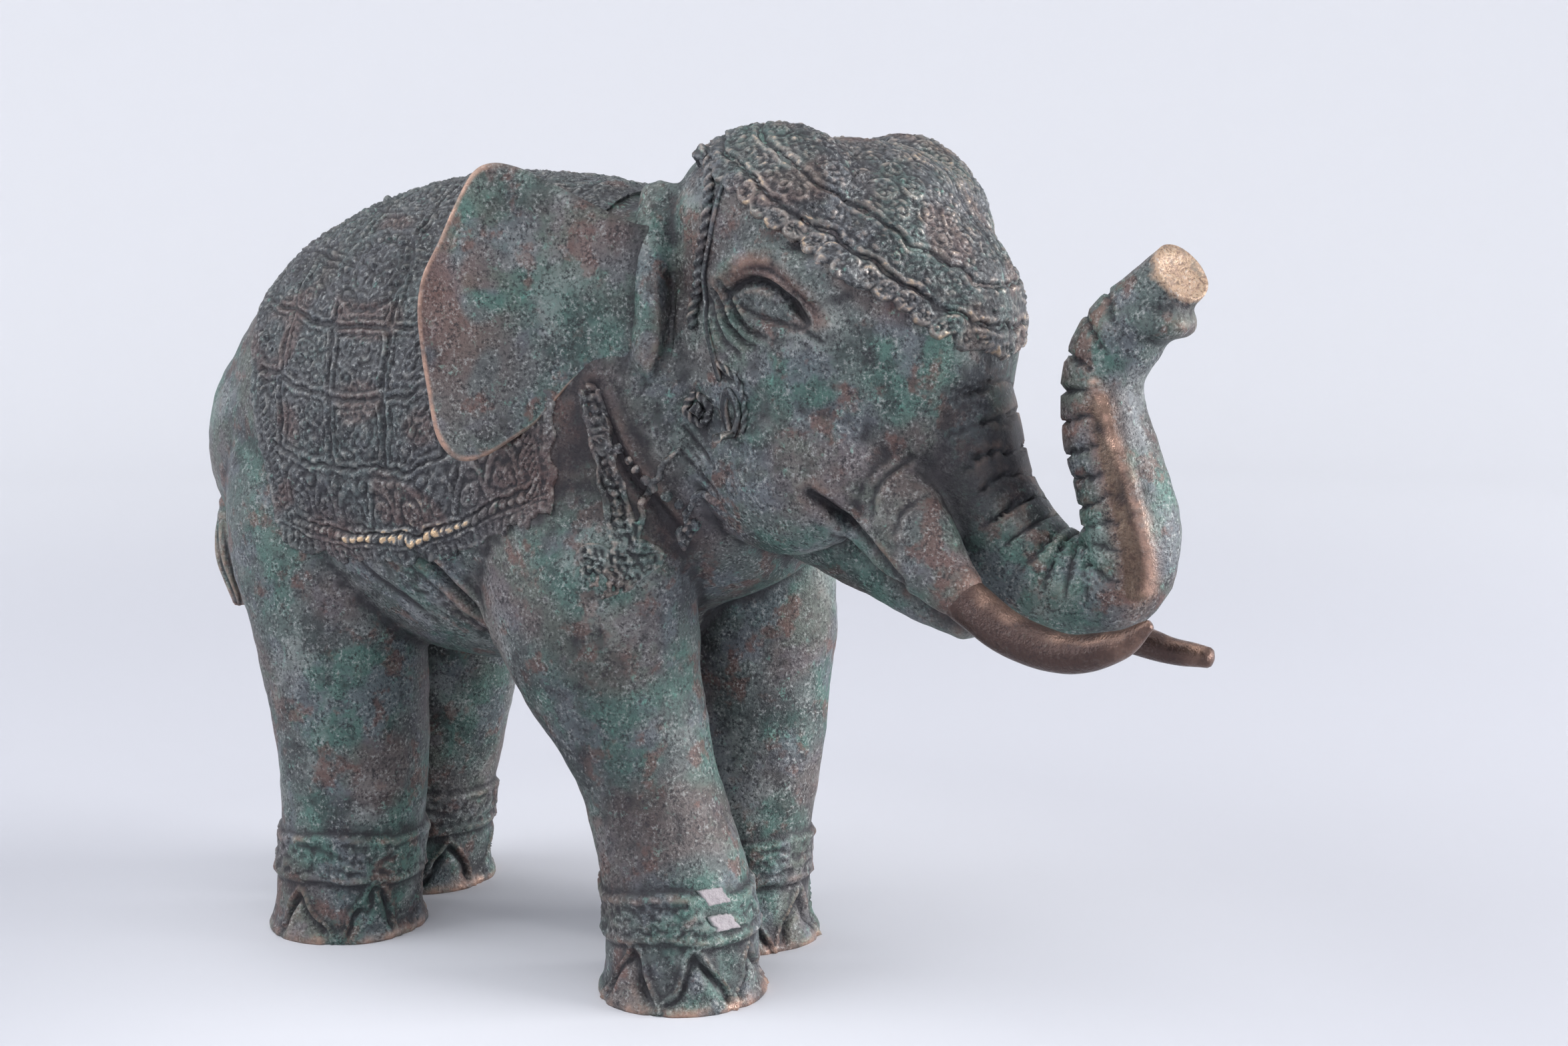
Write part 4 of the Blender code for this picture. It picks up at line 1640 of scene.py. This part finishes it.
@dataclass(frozen=True)
class Braid:
    """A twisted cord that lies on the side of the head along a path of y, z."""

    name: str
    path: Rows
    radius: float
    strands: int = 2
    twist: float = 3.4
    depth: float = 0.28
    steps: int = 128
    sides: int = 24

    def build(self, side: Side, skin: Piece) -> Piece:
        """Drops the path onto the skin and carries a ring of the cord along it.

        Args:
            side: which side of the head.
            skin: the finished skin.

        Returns:
            The painted cord. Its radius is a cosine of the angle about it, turned as it goes.
        """
        line = through(self.path, self.steps)
        flat = unit(np.gradient(line, axis=0))
        offset = np.stack([-flat[:, 1], flat[:, 0]], 1)
        spread = line[:, None] + offset[:, None] * np.array([-1, 0, 1.0])[None, :, None]
        outside = np.full((self.steps, 3, 1), side.value * 60.0)
        base = np.concatenate([outside, spread], axis=-1)
        laid = laid_on(skin, base, np.broadcast_to([side.value, 0.0, 0.0], base.shape), rounds=2)
        middle, out = laid.points[:, 1], laid.normals[:, 1]
        ahead = unit(np.gradient(middle, axis=0))
        across = unit(np.cross(ahead, out))
        upward = np.cross(across, ahead)
        length = lengths_along(middle)
        angle = np.linspace(0, 2 * math.pi, self.sides, endpoint=False)
        turn = 2 * math.pi * length[:, None] / self.twist
        wave = np.cos(self.strands * angle[None, :] + turn)
        ends = np.clip(np.minimum(length, length[-1] - length) / self.radius, 0.05, 1) ** 0.5
        radius = (self.radius * (1 + self.depth * wave) * ends[:, None])[..., None]
        wheel = across[:, None] * np.cos(angle)[None, :, None]
        wheel = wheel + upward[:, None] * np.sin(angle)[None, :, None]
        rings = middle[:, None] + 0.35 * self.radius * out[:, None] + radius * wheel
        shell = Shell.of_rings(rings, (rings[0].mean(axis=0), rings[-1].mean(axis=0)))
        piece = Piece(side.named(self.name), shell, skin.place)
        relief, patchy = wave.ravel(), rise(lumps(piece.points()[:-2], 7, 95) - 0.2, 1)
        piece.paint(
            {
                Trace.WEAR: 0.4 * rise(relief - 0.4, 0.5) * patchy,
                Trace.HOLLOW: 0.9 * rise(-relief - 0.2, 0.6),
                Trace.ORNAMENT: np.full(len(relief), 0.4),
            }
        )
        return piece


@dataclass(frozen=True)
class HeadCords:
    """The rope behind the eye with its thin wire, and the ear ornament that hangs from them."""

    braids: tuple[Braid, ...] = (
        Braid(
            "rope",
            (
                (-61.4, 181), (-65, 178), (-66.5, 169.5), (-65.4, 163),
                (-63.2, 155.6), (-62, 151), (-61.6, 146),
            ),
            radius=1.05,
            twist=2.4,
        ),
        Braid(
            "wire",
            (
                (-69.4, 178), (-68.4, 171.7), (-67.2, 164), (-65, 155.6),
                (-65.2, 148), (-67.2, 140.5), (-68.6, 135.6),
            ),
            radius=0.6,
            twist=40,
            depth=0.1,
        ),
        Braid(
            "drop",
            ((-67.8, 139.6), (-70.6, 138), (-73, 135.8), (-74, 131), (-73.6, 125)),
            radius=0.6,
            twist=2.6,
            depth=0.18,
        ),
        Braid(
            "ring",
            ((-62.4, 133.2), (-65.4, 130.2), (-62.6, 126.8), (-59.4, 129.8), (-62, 133.3)),
            radius=0.85,
            twist=2.2,
            depth=0.16,
        ),
        Braid("core", ((-62.4, 131.4), (-62.4, 129.9), (-62.4, 128.4)), radius=1.5, strands=4, twist=3.0),
        Braid(
            "loop",
            ((-70.2, 134.6), (-72.4, 130), (-70.8, 124.6), (-69.2, 129.4), (-70, 134.4)),
            radius=0.8,
            twist=30,
            depth=0.15,
        ),
        Braid(
            "knob",
            ((-59.6, 180.2), (-61.2, 181), (-63.4, 180.6)),
            radius=2.3,
            strands=5,
            twist=9.0,
            depth=0.12,
        ),
    )

    def build(self, skin: Piece) -> list[Piece]:
        """Every cord on both sides of the head."""
        return [braid.build(side, skin) for braid in self.braids for side in Side]


# Parts that stand free of the skin


@dataclass
class Ear:
    """A cupped leaf of bronze with a thin round rim.

    The outline and the centre are the way out from the root and the height over the ground.
    """

    root: Row = (-33, -50)
    spread: float = math.radians(30)
    length: float = 46
    thickness: float = 2.6
    cup: float = 4.0
    lip: float = 2.5
    centre: Row = (22, 150)
    rings: int = 64
    per_span: int = 8
    outline: Rows = (
        (-5, 165), (1.6, 167.7), (9.6, 171.4), (19.2, 176.2), (25.6, 179.2), (31.2, 180.2),
        (35.3, 178), (39, 170.9), (42, 163.7), (44.9, 157.3), (46, 150.9), (45.7, 142.8),
        (44.6, 133), (43.2, 124.2), (40.5, 119.6), (37.2, 118.4), (33.1, 119.6), (28.2, 122.6),
        (23.2, 126), (19.5, 130), (14.9, 135), (10, 138), (2, 140), (-5, 142),
    )

    def build(self, side: Side, place: Placement) -> Piece:
        """Two layers of rings from the middle of the leaf out to its outline.

        Args:
            side: which ear.
            place: where the sculptor's grid lies.

        Returns:
            The painted ear. The leaf dips by a sine from its root to its rear edge and of its
            height, and each layer stands half the thickness off that.
        """
        knots = np.array(self.outline[-1:] + self.outline + self.outline[:2], float)
        fine = through(knots, (len(knots) - 1) * self.per_span + 1)
        outline = fine[self.per_span : -2 * self.per_span]
        centre = np.array(self.centre, float)
        share = (1 - np.linspace(0.985, 0, self.rings) ** 1.5)[:, None]
        flat = centre + share[..., None] * (outline - centre)
        along, height = flat[..., 0], flat[..., 1]
        reach = np.clip(along / self.length, 0, 1)
        low, high = outline[:, 1].min(), outline[:, 1].max()
        dish = self.lip * np.clip(4 * reach - 3, 0, 1) - self.cup * np.sin(math.pi * reach)
        dish = dish + self.lip / 2 * np.sin(math.pi * (height - low) / (high - low))
        spot = np.stack([along, height, 0 * along], axis=-1)
        dish = dish + 0.35 * lumps(spot, 26, 71) + 0.1 * lumps(spot, 8, 72)
        sink = 0.07 * np.clip(3.5 - along, 0, 12) ** 2
        roll = 0.3 + 0.8 * bump(height - 127, 13) * rise(along - 8, 8)
        rim = roll * bump((1 - share) * 24, 1.3)
        half = (self.thickness / 2 + rim) * np.sqrt(np.clip(1 - share**14, 0.02, 1))
        out, back = math.sin(self.spread), math.cos(self.spread)

        layers = []
        for face in (dish + half, dish - half):
            x = self.root[0] - along * out - face * back + sink
            y = self.root[1] + along * back - face * out
            layers.append(np.stack([-side.value * x, y, height], axis=-1))
        front, rear = layers
        rings = np.concatenate([front, rear[::-1]])
        shell = Shell.of_rings(rings, (front[0].mean(axis=0), rear[0].mean(axis=0)))
        piece = Piece(side.named("ear"), shell, place)
        grids = (share + 0 * along, along, height)
        self.dress(piece, *(np.concatenate([grid, grid[::-1]]).ravel() for grid in grids))
        return piece

    def dress(self, piece: Piece, share: Array, along: Array, height: Array) -> None:
        """Paints the ear: a rubbed rim, rust on its rear half and green on its front half.

        Args:
            piece: the ear.
            share: 0 in the middle of the leaf and 1 on its rim, for each point but the poles.
            along: the way from the root to the rear edge.
            height: the height over the ground.
        """
        points = piece.points()[: len(share)]
        rim = rise(share - 0.965, 0.03) * (0.55 + 0.45 * rise(lumps(points, 9, 73) + 0.4, 1))
        rear = rise(along - 30, 16) * bump(height - 152, 22) * rise(lumps(points, 12, 74) + 0.7, 1.2)
        corner = bump(np.hypot((along - 10) / 1.6, height - 166), 8)
        piece.paint(
            {
                Trace.WEAR: rim * np.maximum(rise(along - 32, 18), 0.7 * rise(140 - height, 8)),
                Trace.RUST: 0.74 * np.maximum(rear, 0.8 * corner),
                Trace.GREEN: rise(lumps(points, 17, 75) + 0.2, 1.4) * rise(36 - along, 20),
                Trace.HOLLOW: 0.7 * bump(along - 0.8, 2.4) + 0.5 * rim * rise(28 - along, 14),
            }
        )


@dataclass
class TusksAndTail:
    """The tusks and the tail: round forms along routes of x, y, z and a share of their radius."""

    tusk_radius: float = 4.4
    tail_radius: float = 2.8
    tuft_top: float = 92
    ring_pitch: float = 3.4
    right_tusk: Rows = (
        (-18.5, -107, 102, 1.1),
        (-21, -119, 92.5, 1.05),
        (-22.3, -130, 86.5, 1.0),
        (-23, -141, 84.5, 0.9),
        (-23.3, -151, 87, 0.68),
        (-23, -157.5, 91.5, 0.3),
    )
    left_tusk: Rows = (
        (18.5, -107, 101, 1.1),
        (21, -120, 90, 1.0),
        (22, -132, 82.5, 0.86),
        (22.5, -144, 78.5, 0.7),
        (22.5, -154.6, 77.4, 0.5),
    )
    tail_route: Rows = (
        (0, 67, 150.5, 0.8),
        (0, 77, 139.5, 1.0),
        (0, 87.5, 126, 1.0),
        (0, 96, 111, 0.95),
        (-1, 99.2, 98, 1.1),
        (-2, 98.2, 85, 1.5),
        (-3, 95, 73, 0.7),
    )

    @staticmethod
    def route(rows: Rows, radius: float, sides: int, steps: int) -> Shell:
        """A round form along the route, whose radius is a share of this one."""
        stations = tuple((x, y, z, radius * share, radius * share) for x, y, z, share in rows)
        return Loft(stations, sides, steps).shell()

    def tusks(self, place: Placement) -> list[Piece]:
        """The two tusks, rubbed to bare copper, with a painted highlight along their tops and tips.

        Args:
            place: where the sculptor's grid lies.

        Returns:
            The right tusk and the left one, painted.
        """
        pieces = []
        for side, rows in ((Side.RIGHT, self.right_tusk), (Side.LEFT, self.left_tusk)):
            piece = Piece(side.named("tusk"), self.route(rows, self.tusk_radius, 40, 90), place)
            points = piece.points()
            piece.move(points + piece.normals() * (0.12 * lumps(points, 9, 81))[:, None])
            bare = rise(-points[:, 1] - 114, 9)
            upper = piece.normals()[:, 2] + 0.3 * lumps(points, 7, 82)
            # a painted highlight along the tusk's top and at its tip
            shine = 0.3 * bump(upper - 0.95, 0.2) + 0.2 * rise(-points[:, 1] - 150, 6)
            piece.paint({Trace.WEAR: bare * shine, Trace.GREEN: 0.5 * (1 - bare), Trace.RUST: bare})
            pieces.append(piece)
        return pieces

    def tail(self, place: Placement) -> Piece:
        """The tail, ringed, with a tuft of strands at its end.

        Args:
            place: where the sculptor's grid lies.

        Returns:
            The painted tail. The strands are a cosine of the angle about it, and the rings one
            of the height.
        """
        piece = Piece("tail", self.route(self.tail_route, self.tail_radius, 40, 150), place)
        points, normals = piece.points(), piece.normals()
        z = points[:, 2]
        angle = np.arctan2(normals[:, 1], normals[:, 0])
        strands = 0.35 * np.cos(9 * angle + z / 4) * rise(self.tuft_top - z, 8)
        rings = 0.2 * np.cos(2 * math.pi * z / self.ring_pitch) * rise(z - self.tuft_top - 4, 8)
        piece.move(points + normals * (strands + rings)[:, None])
        worn = 0.3 * rise(rings, 0.3) * rise(lumps(points, 9, 83))
        wear = 0.4 * rise(strands - 0.1, 0.3) + worn
        piece.paint({Trace.WEAR: wear, Trace.HOLLOW: rise(-strands - 0.1, 0.3)})
        return piece


# Colour


Operand = "Socket | float"


@dataclass(frozen=True, eq=False)
class Socket:
    """A node's output that takes part in sums like a number."""

    shader: "Shader"
    end: bpy.types.NodeSocket

    def __add__(self, other: Operand) -> "Socket":
        """The sum."""
        return self.shader.maths("ADD", self, other)

    def __sub__(self, other: Operand) -> "Socket":
        """The difference."""
        return self.shader.maths("SUBTRACT", self, other)

    def __rsub__(self, other: Operand) -> "Socket":
        """The difference the other way round."""
        return self.shader.maths("SUBTRACT", other, self)

    def __mul__(self, other: Operand) -> "Socket":
        """The product."""
        return self.shader.maths("MULTIPLY", self, other)

    __radd__ = __add__
    __rmul__ = __mul__

    def step(self, low: float, high: float) -> "Socket":
        """A smooth step.

        Args:
            low: the value up to which the step is 0.
            high: the value from which it is 1.

        Returns:
            The step, with a smooth slope between the two.
        """
        settings = {"interpolation_type": "SMOOTHSTEP"}
        values = {"Value": self, "From Min": low, "From Max": high}
        return self.shader.node("ShaderNodeMapRange", settings, values, "Result")


class Shader:
    """A material's node tree, built from sockets that behave like numbers."""

    def __init__(self, name: str) -> None:
        """Makes the material with its principled shader.

        Args:
            name: the material's name.
        """
        self.material = bpy.data.materials.new(name)
        self.material.use_nodes = True
        self.tree = self.material.node_tree
        self.surface = self.tree.nodes["Principled BSDF"]
        self.place = self.node("ShaderNodeTexCoord", {}, {}, "Object")

    def node(
        self,
        kind: str,
        settings: Mapping[str, object],
        values: Mapping[str | int, object],
        output: str | int,
    ) -> Socket:
        """Adds one node.

        Args:
            kind: the node's type.
            settings: its properties.
            values: what its inputs hold or are joined to.
            output: which output to return.

        Returns:
            The chosen output.
        """
        made = self.tree.nodes.new(kind)
        for name, value in settings.items():
            setattr(made, name, value)
        for name, value in values.items():
            self.feed(made.inputs[name], value)
        return Socket(self, made.outputs[output])

    def feed(self, into: bpy.types.NodeSocket, value: object) -> None:
        """Joins a socket to an input, or sets the input to a constant.

        Args:
            into: the input.
            value: the socket or the constant.
        """
        if isinstance(value, Socket):
            self.tree.links.new(value.end, into)
        else:
            into.default_value = value

    def maths(self, operation: str, first: Operand, second: Operand) -> Socket:
        """One sum of two numbers."""
        return self.node("ShaderNodeMath", {"operation": operation}, {0: first, 1: second}, 0)

    def trace(self, trace: Trace) -> Socket:
        """The painted values of the piece."""
        return self.node("ShaderNodeAttribute", {"attribute_name": trace.value}, {}, "Fac")

    def noise(self, size: float, detail: float, rough: float, shift: float = 0) -> Socket:
        """Cloudy noise.

        Args:
            size: about how wide its spots are, in millimetres.
            detail: how many finer layers it has.
            rough: how strong the finer layers are.
            shift: moves the pattern, so that two noises don't fall on each other.

        Returns:
            The noise, most of it between 0.3 and 0.7.
        """
        values = {0: self.place, 1: (shift, 2 * shift, 3 * shift)}
        moved = self.node("ShaderNodeVectorMath", {"operation": "ADD"}, values, 0)
        values = {"Vector": moved, "Scale": 1000 / size, "Detail": detail, "Roughness": rough}
        return self.node("ShaderNodeTexNoise", {}, values, "Fac")

    def layers(self, ground: Colour, layers: Sequence[tuple[Colour, Socket]]) -> Socket:
        """Colours laid over each other.

        Args:
            ground: the colour below them all.
            layers: each colour with how much of it lies there, from the lowest to the highest.

        Returns:
            The colour that is seen.
        """
        settings = {"data_type": "RGBA", "clamp_factor": True}
        seen: Socket | Row = (*ground, 1.0)
        for colour, amount in layers:
            values = {0: amount, 6: seen, 7: (*colour, 1.0)}
            seen = self.node("ShaderNodeMix", settings, values, 2)
        return seen

    def finish(self, name: str, value: Operand) -> None:
        """Gives the surface's input of this name a socket or a constant."""
        self.feed(self.surface.inputs[name], value)


@dataclass(frozen=True)
class Patina:
    """Old bronze: slate and green patina, reddish patches, dark hollows and rubbed metal,
    with painted shade and painted highlights.
    """

    slate: Colour = (0.100, 0.108, 0.108)
    teal: Colour = (0.072, 0.140, 0.120)
    mist: Colour = (0.120, 0.130, 0.150)
    verdigris: Colour = (0.110, 0.310, 0.245)
    umber: Colour = (0.135, 0.070, 0.058)
    pale: Colour = (0.370, 0.380, 0.370)
    dark: Colour = (0.014, 0.013, 0.017)
    cloth: Colour = (0.070, 0.073, 0.081)
    copper: Colour = (0.520, 0.330, 0.250)
    brass: Colour = (0.600, 0.430, 0.270)
    silver: Colour = (0.480, 0.460, 0.420)
    polished: Colour = (0.056, 0.033, 0.028)
    tan: Colour = (0.400, 0.290, 0.190)
    chipped: Colour = (0.340, 0.300, 0.315)

    def build(self) -> bpy.types.Material:
        """Lays the colours over each other, from the wide patches to the fine speckle.

        Returns:
            The material of every piece of the casting.
        """
        shader = Shader("patina")
        # the wear trace also carries painted highlights, and the hollow and rust traces painted shade
        wear, hollow, ornament, green, rust, brass, chip = (shader.trace(kind) for kind in Trace)
        wide = shader.noise(26, 4, 0.6)
        cool = shader.noise(13, 4, 0.6, 0.23)
        patch = shader.noise(9, 4, 0.65, 0.31)
        light = shader.noise(19, 4, 0.6, 0.71)
        shadow = shader.noise(15, 4, 0.62, 0.43)
        grain = shader.noise(0.75, 2, 0.7, 0.57)
        speck = shader.noise(2.4, 3, 0.7, 0.83)
        cloudy = shader.noise(3.4, 4, 0.65, 0.11)
        plain = 1 - ornament
        smooth = rust.step(0.74, 0.98)
        rough = (1 - 0.8 * smooth) * (1 - 0.45 * rust)
        crumbs = grain.step(0.52, 0.68) * speck.step(0.38, 0.60)
        bloom = cloudy.step(0.58, 0.72) * grain.step(0.42, 0.60)
        dents = (1 - grain.step(0.36, 0.50)) * (0.45 + 0.55 * speck.step(0.36, 0.60))
        bare = wear * (0.45 + 0.55 * cloudy.step(0.36, 0.56))
        colour = shader.layers(
            self.slate,
            (
                (self.teal, wide.step(0.46, 0.56) * 0.8 + green * 0.5),
                (self.mist, cool.step(0.50, 0.60) * 0.7),
                (self.umber, patch.step(0.54, 0.63) * 0.75 * plain),
                (self.cloth, ornament * 0.75),
                (self.pale, light.step(0.52, 0.64) * 0.3 * plain),
                (self.dark, shadow.step(0.52, 0.62) * 0.5),
                # umber where rusty, and as painted shade under the ear
                (self.umber, rust),
                (self.polished, smooth * 0.9),
                (self.tan, brass * (0.3 + 0.7 * speck.step(0.36, 0.5))),
                (self.pale, crumbs * 0.76 * rough),
                (self.verdigris, bloom * 0.55 * rough),
                (self.dark, dents * 0.85 * (1 - 0.5 * smooth)),
                # dark in hollows, and as painted shade
                (self.dark, hollow * 0.9),
                # copper where rubbed, and as painted highlights
                (self.copper, bare * plain),
                (self.silver, bare * ornament),
                (self.brass, ornament * wear.step(0.45, 0.85)),
                (self.chipped, chip * (0.8 + 0.2 * grain)),
            ),
        )
        dull = 0.60 - 0.24 * bare - 0.20 * cloudy + 0.16 * grain
        shader.finish("Base Color", colour)
        shader.finish("Metallic", (0.25 + 0.30 * smooth + 0.45 * bare) * (1 - chip))
        shader.finish("Roughness", dull - 0.20 * smooth - 0.14 * ornament)
        height = grain * 0.7 + speck * 0.5 + cloudy * 0.4
        values = {"Height": height, "Strength": 0.7, "Distance": 0.0005}
        shader.finish("Normal", shader.node("ShaderNodeBump", {}, values, "Normal"))
        return shader.material


# The studio


@dataclass(frozen=True)
class Lamp:
    """A soft square light: where it stands, what it looks at, its size and its power."""

    name: str
    stand: Row
    size: float
    power: float
    colour: Colour = (1, 1, 1)

    def build(self, target: Row) -> bpy.types.Object:
        """Makes the light and turns it to the target.

        Args:
            target: the place it looks at, in metres.

        Returns:
            The light's object.
        """
        light = bpy.data.lights.new(self.name, "AREA")
        light.size, light.energy, light.color = self.size, self.power, self.colour
        item = bpy.data.objects.new(self.name, light)
        item.location = self.stand
        look = Vector(target) - Vector(self.stand)
        item.rotation_euler = look.to_track_quat("-Z", "Y").to_euler()
        bpy.context.scene.collection.objects.link(item)
        return item


@dataclass
class Studio:
    """A pale round stage under soft lights, and the camera that looks at the right side."""

    radius: float = 2.2
    cove: float = 1.0
    wall: float = 2.6
    sides: int = 96
    # the paper near the figure: a painted pool of light against its shadow
    paper: Colour = (0.68, 0.685, 0.725)
    outer_paper: Colour = (0.53, 0.535, 0.575)
    wall_paper: Colour = (0.70, 0.705, 0.735)
    sky: Colour = (0.94, 0.96, 1.0)
    sky_strength: float = 0.79
    eye: Row = (-391, -286, 159)
    heading: float = math.radians(29.5)
    pitch: float = math.radians(7.13)
    lens: float = 47.15
    film: float = 36
    target: Row = (0, 0, 0.09)
    lamps: tuple[Lamp, ...] = (
        Lamp("right", (0.5, -1.5, 0.28), 1.0, 48),
        Lamp("left", (-1.2, 1.2, 0.8), 1.5, 19, (0.94, 0.97, 1.0)),
        Lamp("top", (-0.4, 0.1, 1.6), 1.3, 10),
    )

    def build(self, place: Placement) -> None:
        """Makes the stage, the lights, the sky and the camera.

        Args:
            place: where the sculptor's grid lies, in which the camera stands.
        """
        floor = self.floor()
        lamps = [lamp.build(self.target) for lamp in self.lamps]
        world = bpy.data.worlds.new("sky")
        world.use_nodes = True
        back = world.node_tree.nodes["Background"]
        back.inputs["Color"].default_value = (*self.sky, 1)
        back.inputs["Strength"].default_value = self.sky_strength
        bpy.context.scene.world = world
        bpy.context.scene.view_settings.view_transform = "Standard"
        self.camera(place)

    def floor(self) -> Piece:
        """A round floor that turns up into a wall through a quarter of a circle.

        Returns:
            The floor, with paper that is paler near the figure, a painted pool of light against its
            shadow, and paler on the wall.
        """
        turn = np.linspace(0, math.pi / 2, 24)
        flat = self.radius - self.cove
        out = np.concatenate([[0.3, 0.7], flat + self.cove * np.sin(turn), [self.radius]])
        up = np.concatenate([[0, 0], self.cove - self.cove * np.cos(turn), [self.wall]])
        around = np.linspace(0, 2 * math.pi, self.sides, endpoint=False)
        wheel = [out[:, None] * np.cos(around), out[:, None] * np.sin(around)]
        rings = np.stack([*wheel, up[:, None] + 0 * around], -1)
        points = np.vstack([rings.reshape(-1, 3), [[0, 0, 0]]]) / MM
        near = np.arange(self.sides)
        hub = np.full(self.sides, len(out) * self.sides)
        middle = np.stack([hub, near, (near + 1) % self.sides], 1)
        shell = Shell(points, grid_quads(len(out), self.sides, True), middle)
        floor = Piece("floor", shell, Placement(0))
        floor.item.data.shade_smooth()
        shader = Shader("paper")
        length = {"operation": "LENGTH"}
        away = shader.node("ShaderNodeVectorMath", length, {0: shader.place}, "Value")
        # the paper near the figure is paler: a painted pool of light against its shadow
        zones = ((self.outer_paper, away.step(0.05, 0.2)), (self.wall_paper, away.step(0.4, 1.3)))
        shader.finish("Base Color", shader.layers(self.paper, zones))
        shader.finish("Roughness", 0.9)
        shader.finish("Specular IOR Level", 0.1)
        floor.item.data.materials.append(shader.material)
        return floor

    def camera(self, place: Placement) -> None:
        """The camera at the place that was fitted to the picture's perspective.

        Args:
            place: where the sculptor's grid lies.
        """
        data = bpy.data.cameras.new("camera")
        data.lens, data.sensor_width = self.lens, self.film
        data.clip_start, data.clip_end = 0.01, 20
        camera = bpy.data.objects.new("camera", data)
        camera.location = place.to_row(np.array([self.eye]))[0]
        flat = math.cos(self.pitch)
        ahead = (math.cos(self.heading) * flat, math.sin(self.heading) * flat)
        look = Vector((*ahead, -math.sin(self.pitch)))
        camera.rotation_euler = look.to_track_quat("-Z", "Y").to_euler()
        bpy.context.scene.collection.objects.link(camera)
        bpy.context.scene.camera = camera


def placement(anatomy: Anatomy) -> Placement:
    """Finds where the sculptor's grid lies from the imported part's four soles.

    Args:
        anatomy: the forms, with the middles of the feet in the grid.

    Returns:
        The grid's place, which puts the mean of the feet on the mean of the soles.
    """
    soles = [mount["pos_m"][1] for mount in frame["record"]["mounts"]]
    middle = np.mean([foot[1] for foot in anatomy.feet])
    return Placement(float(np.mean(soles)) / MM - float(middle))


def main() -> None:
    """Builds the figure and the studio, and reports what was made."""
    logging.basicConfig(level=logging.INFO, format="%(name)s: %(message)s")
    anatomy = Anatomy()
    place = placement(anatomy)
    carving = Skin(anatomy)
    skin = carving.build(place)
    pieces = [skin]
    cloth, ends = SaddleCloth(anatomy=anatomy), TusksAndTail()
    for side in Side:
        pieces.append(cloth.build(side, skin))
        pieces.append(Ear().build(side, place))
    pieces.append(HeadCap().build(skin))
    pieces += [Breastwork().build(side, skin) for side in Side]
    pieces += HeadCords().build(skin)
    pieces += [*ends.tusks(place), ends.tail(place), *carving.scrapes(place)]
    carving.dress(skin)
    patina = Patina().build()
    for piece in pieces:
        mesh = piece.item.data
        mesh.materials.clear()
        mesh.materials.append(patina)
        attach(piece.item, "root")
        mesh.calc_loop_triangles()
        LOG.info("%s: %d triangles", piece.item.name, len(mesh.loop_triangles))
    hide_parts("elephant")
    Studio().build(place)


if __name__ == "__main__":
    main()
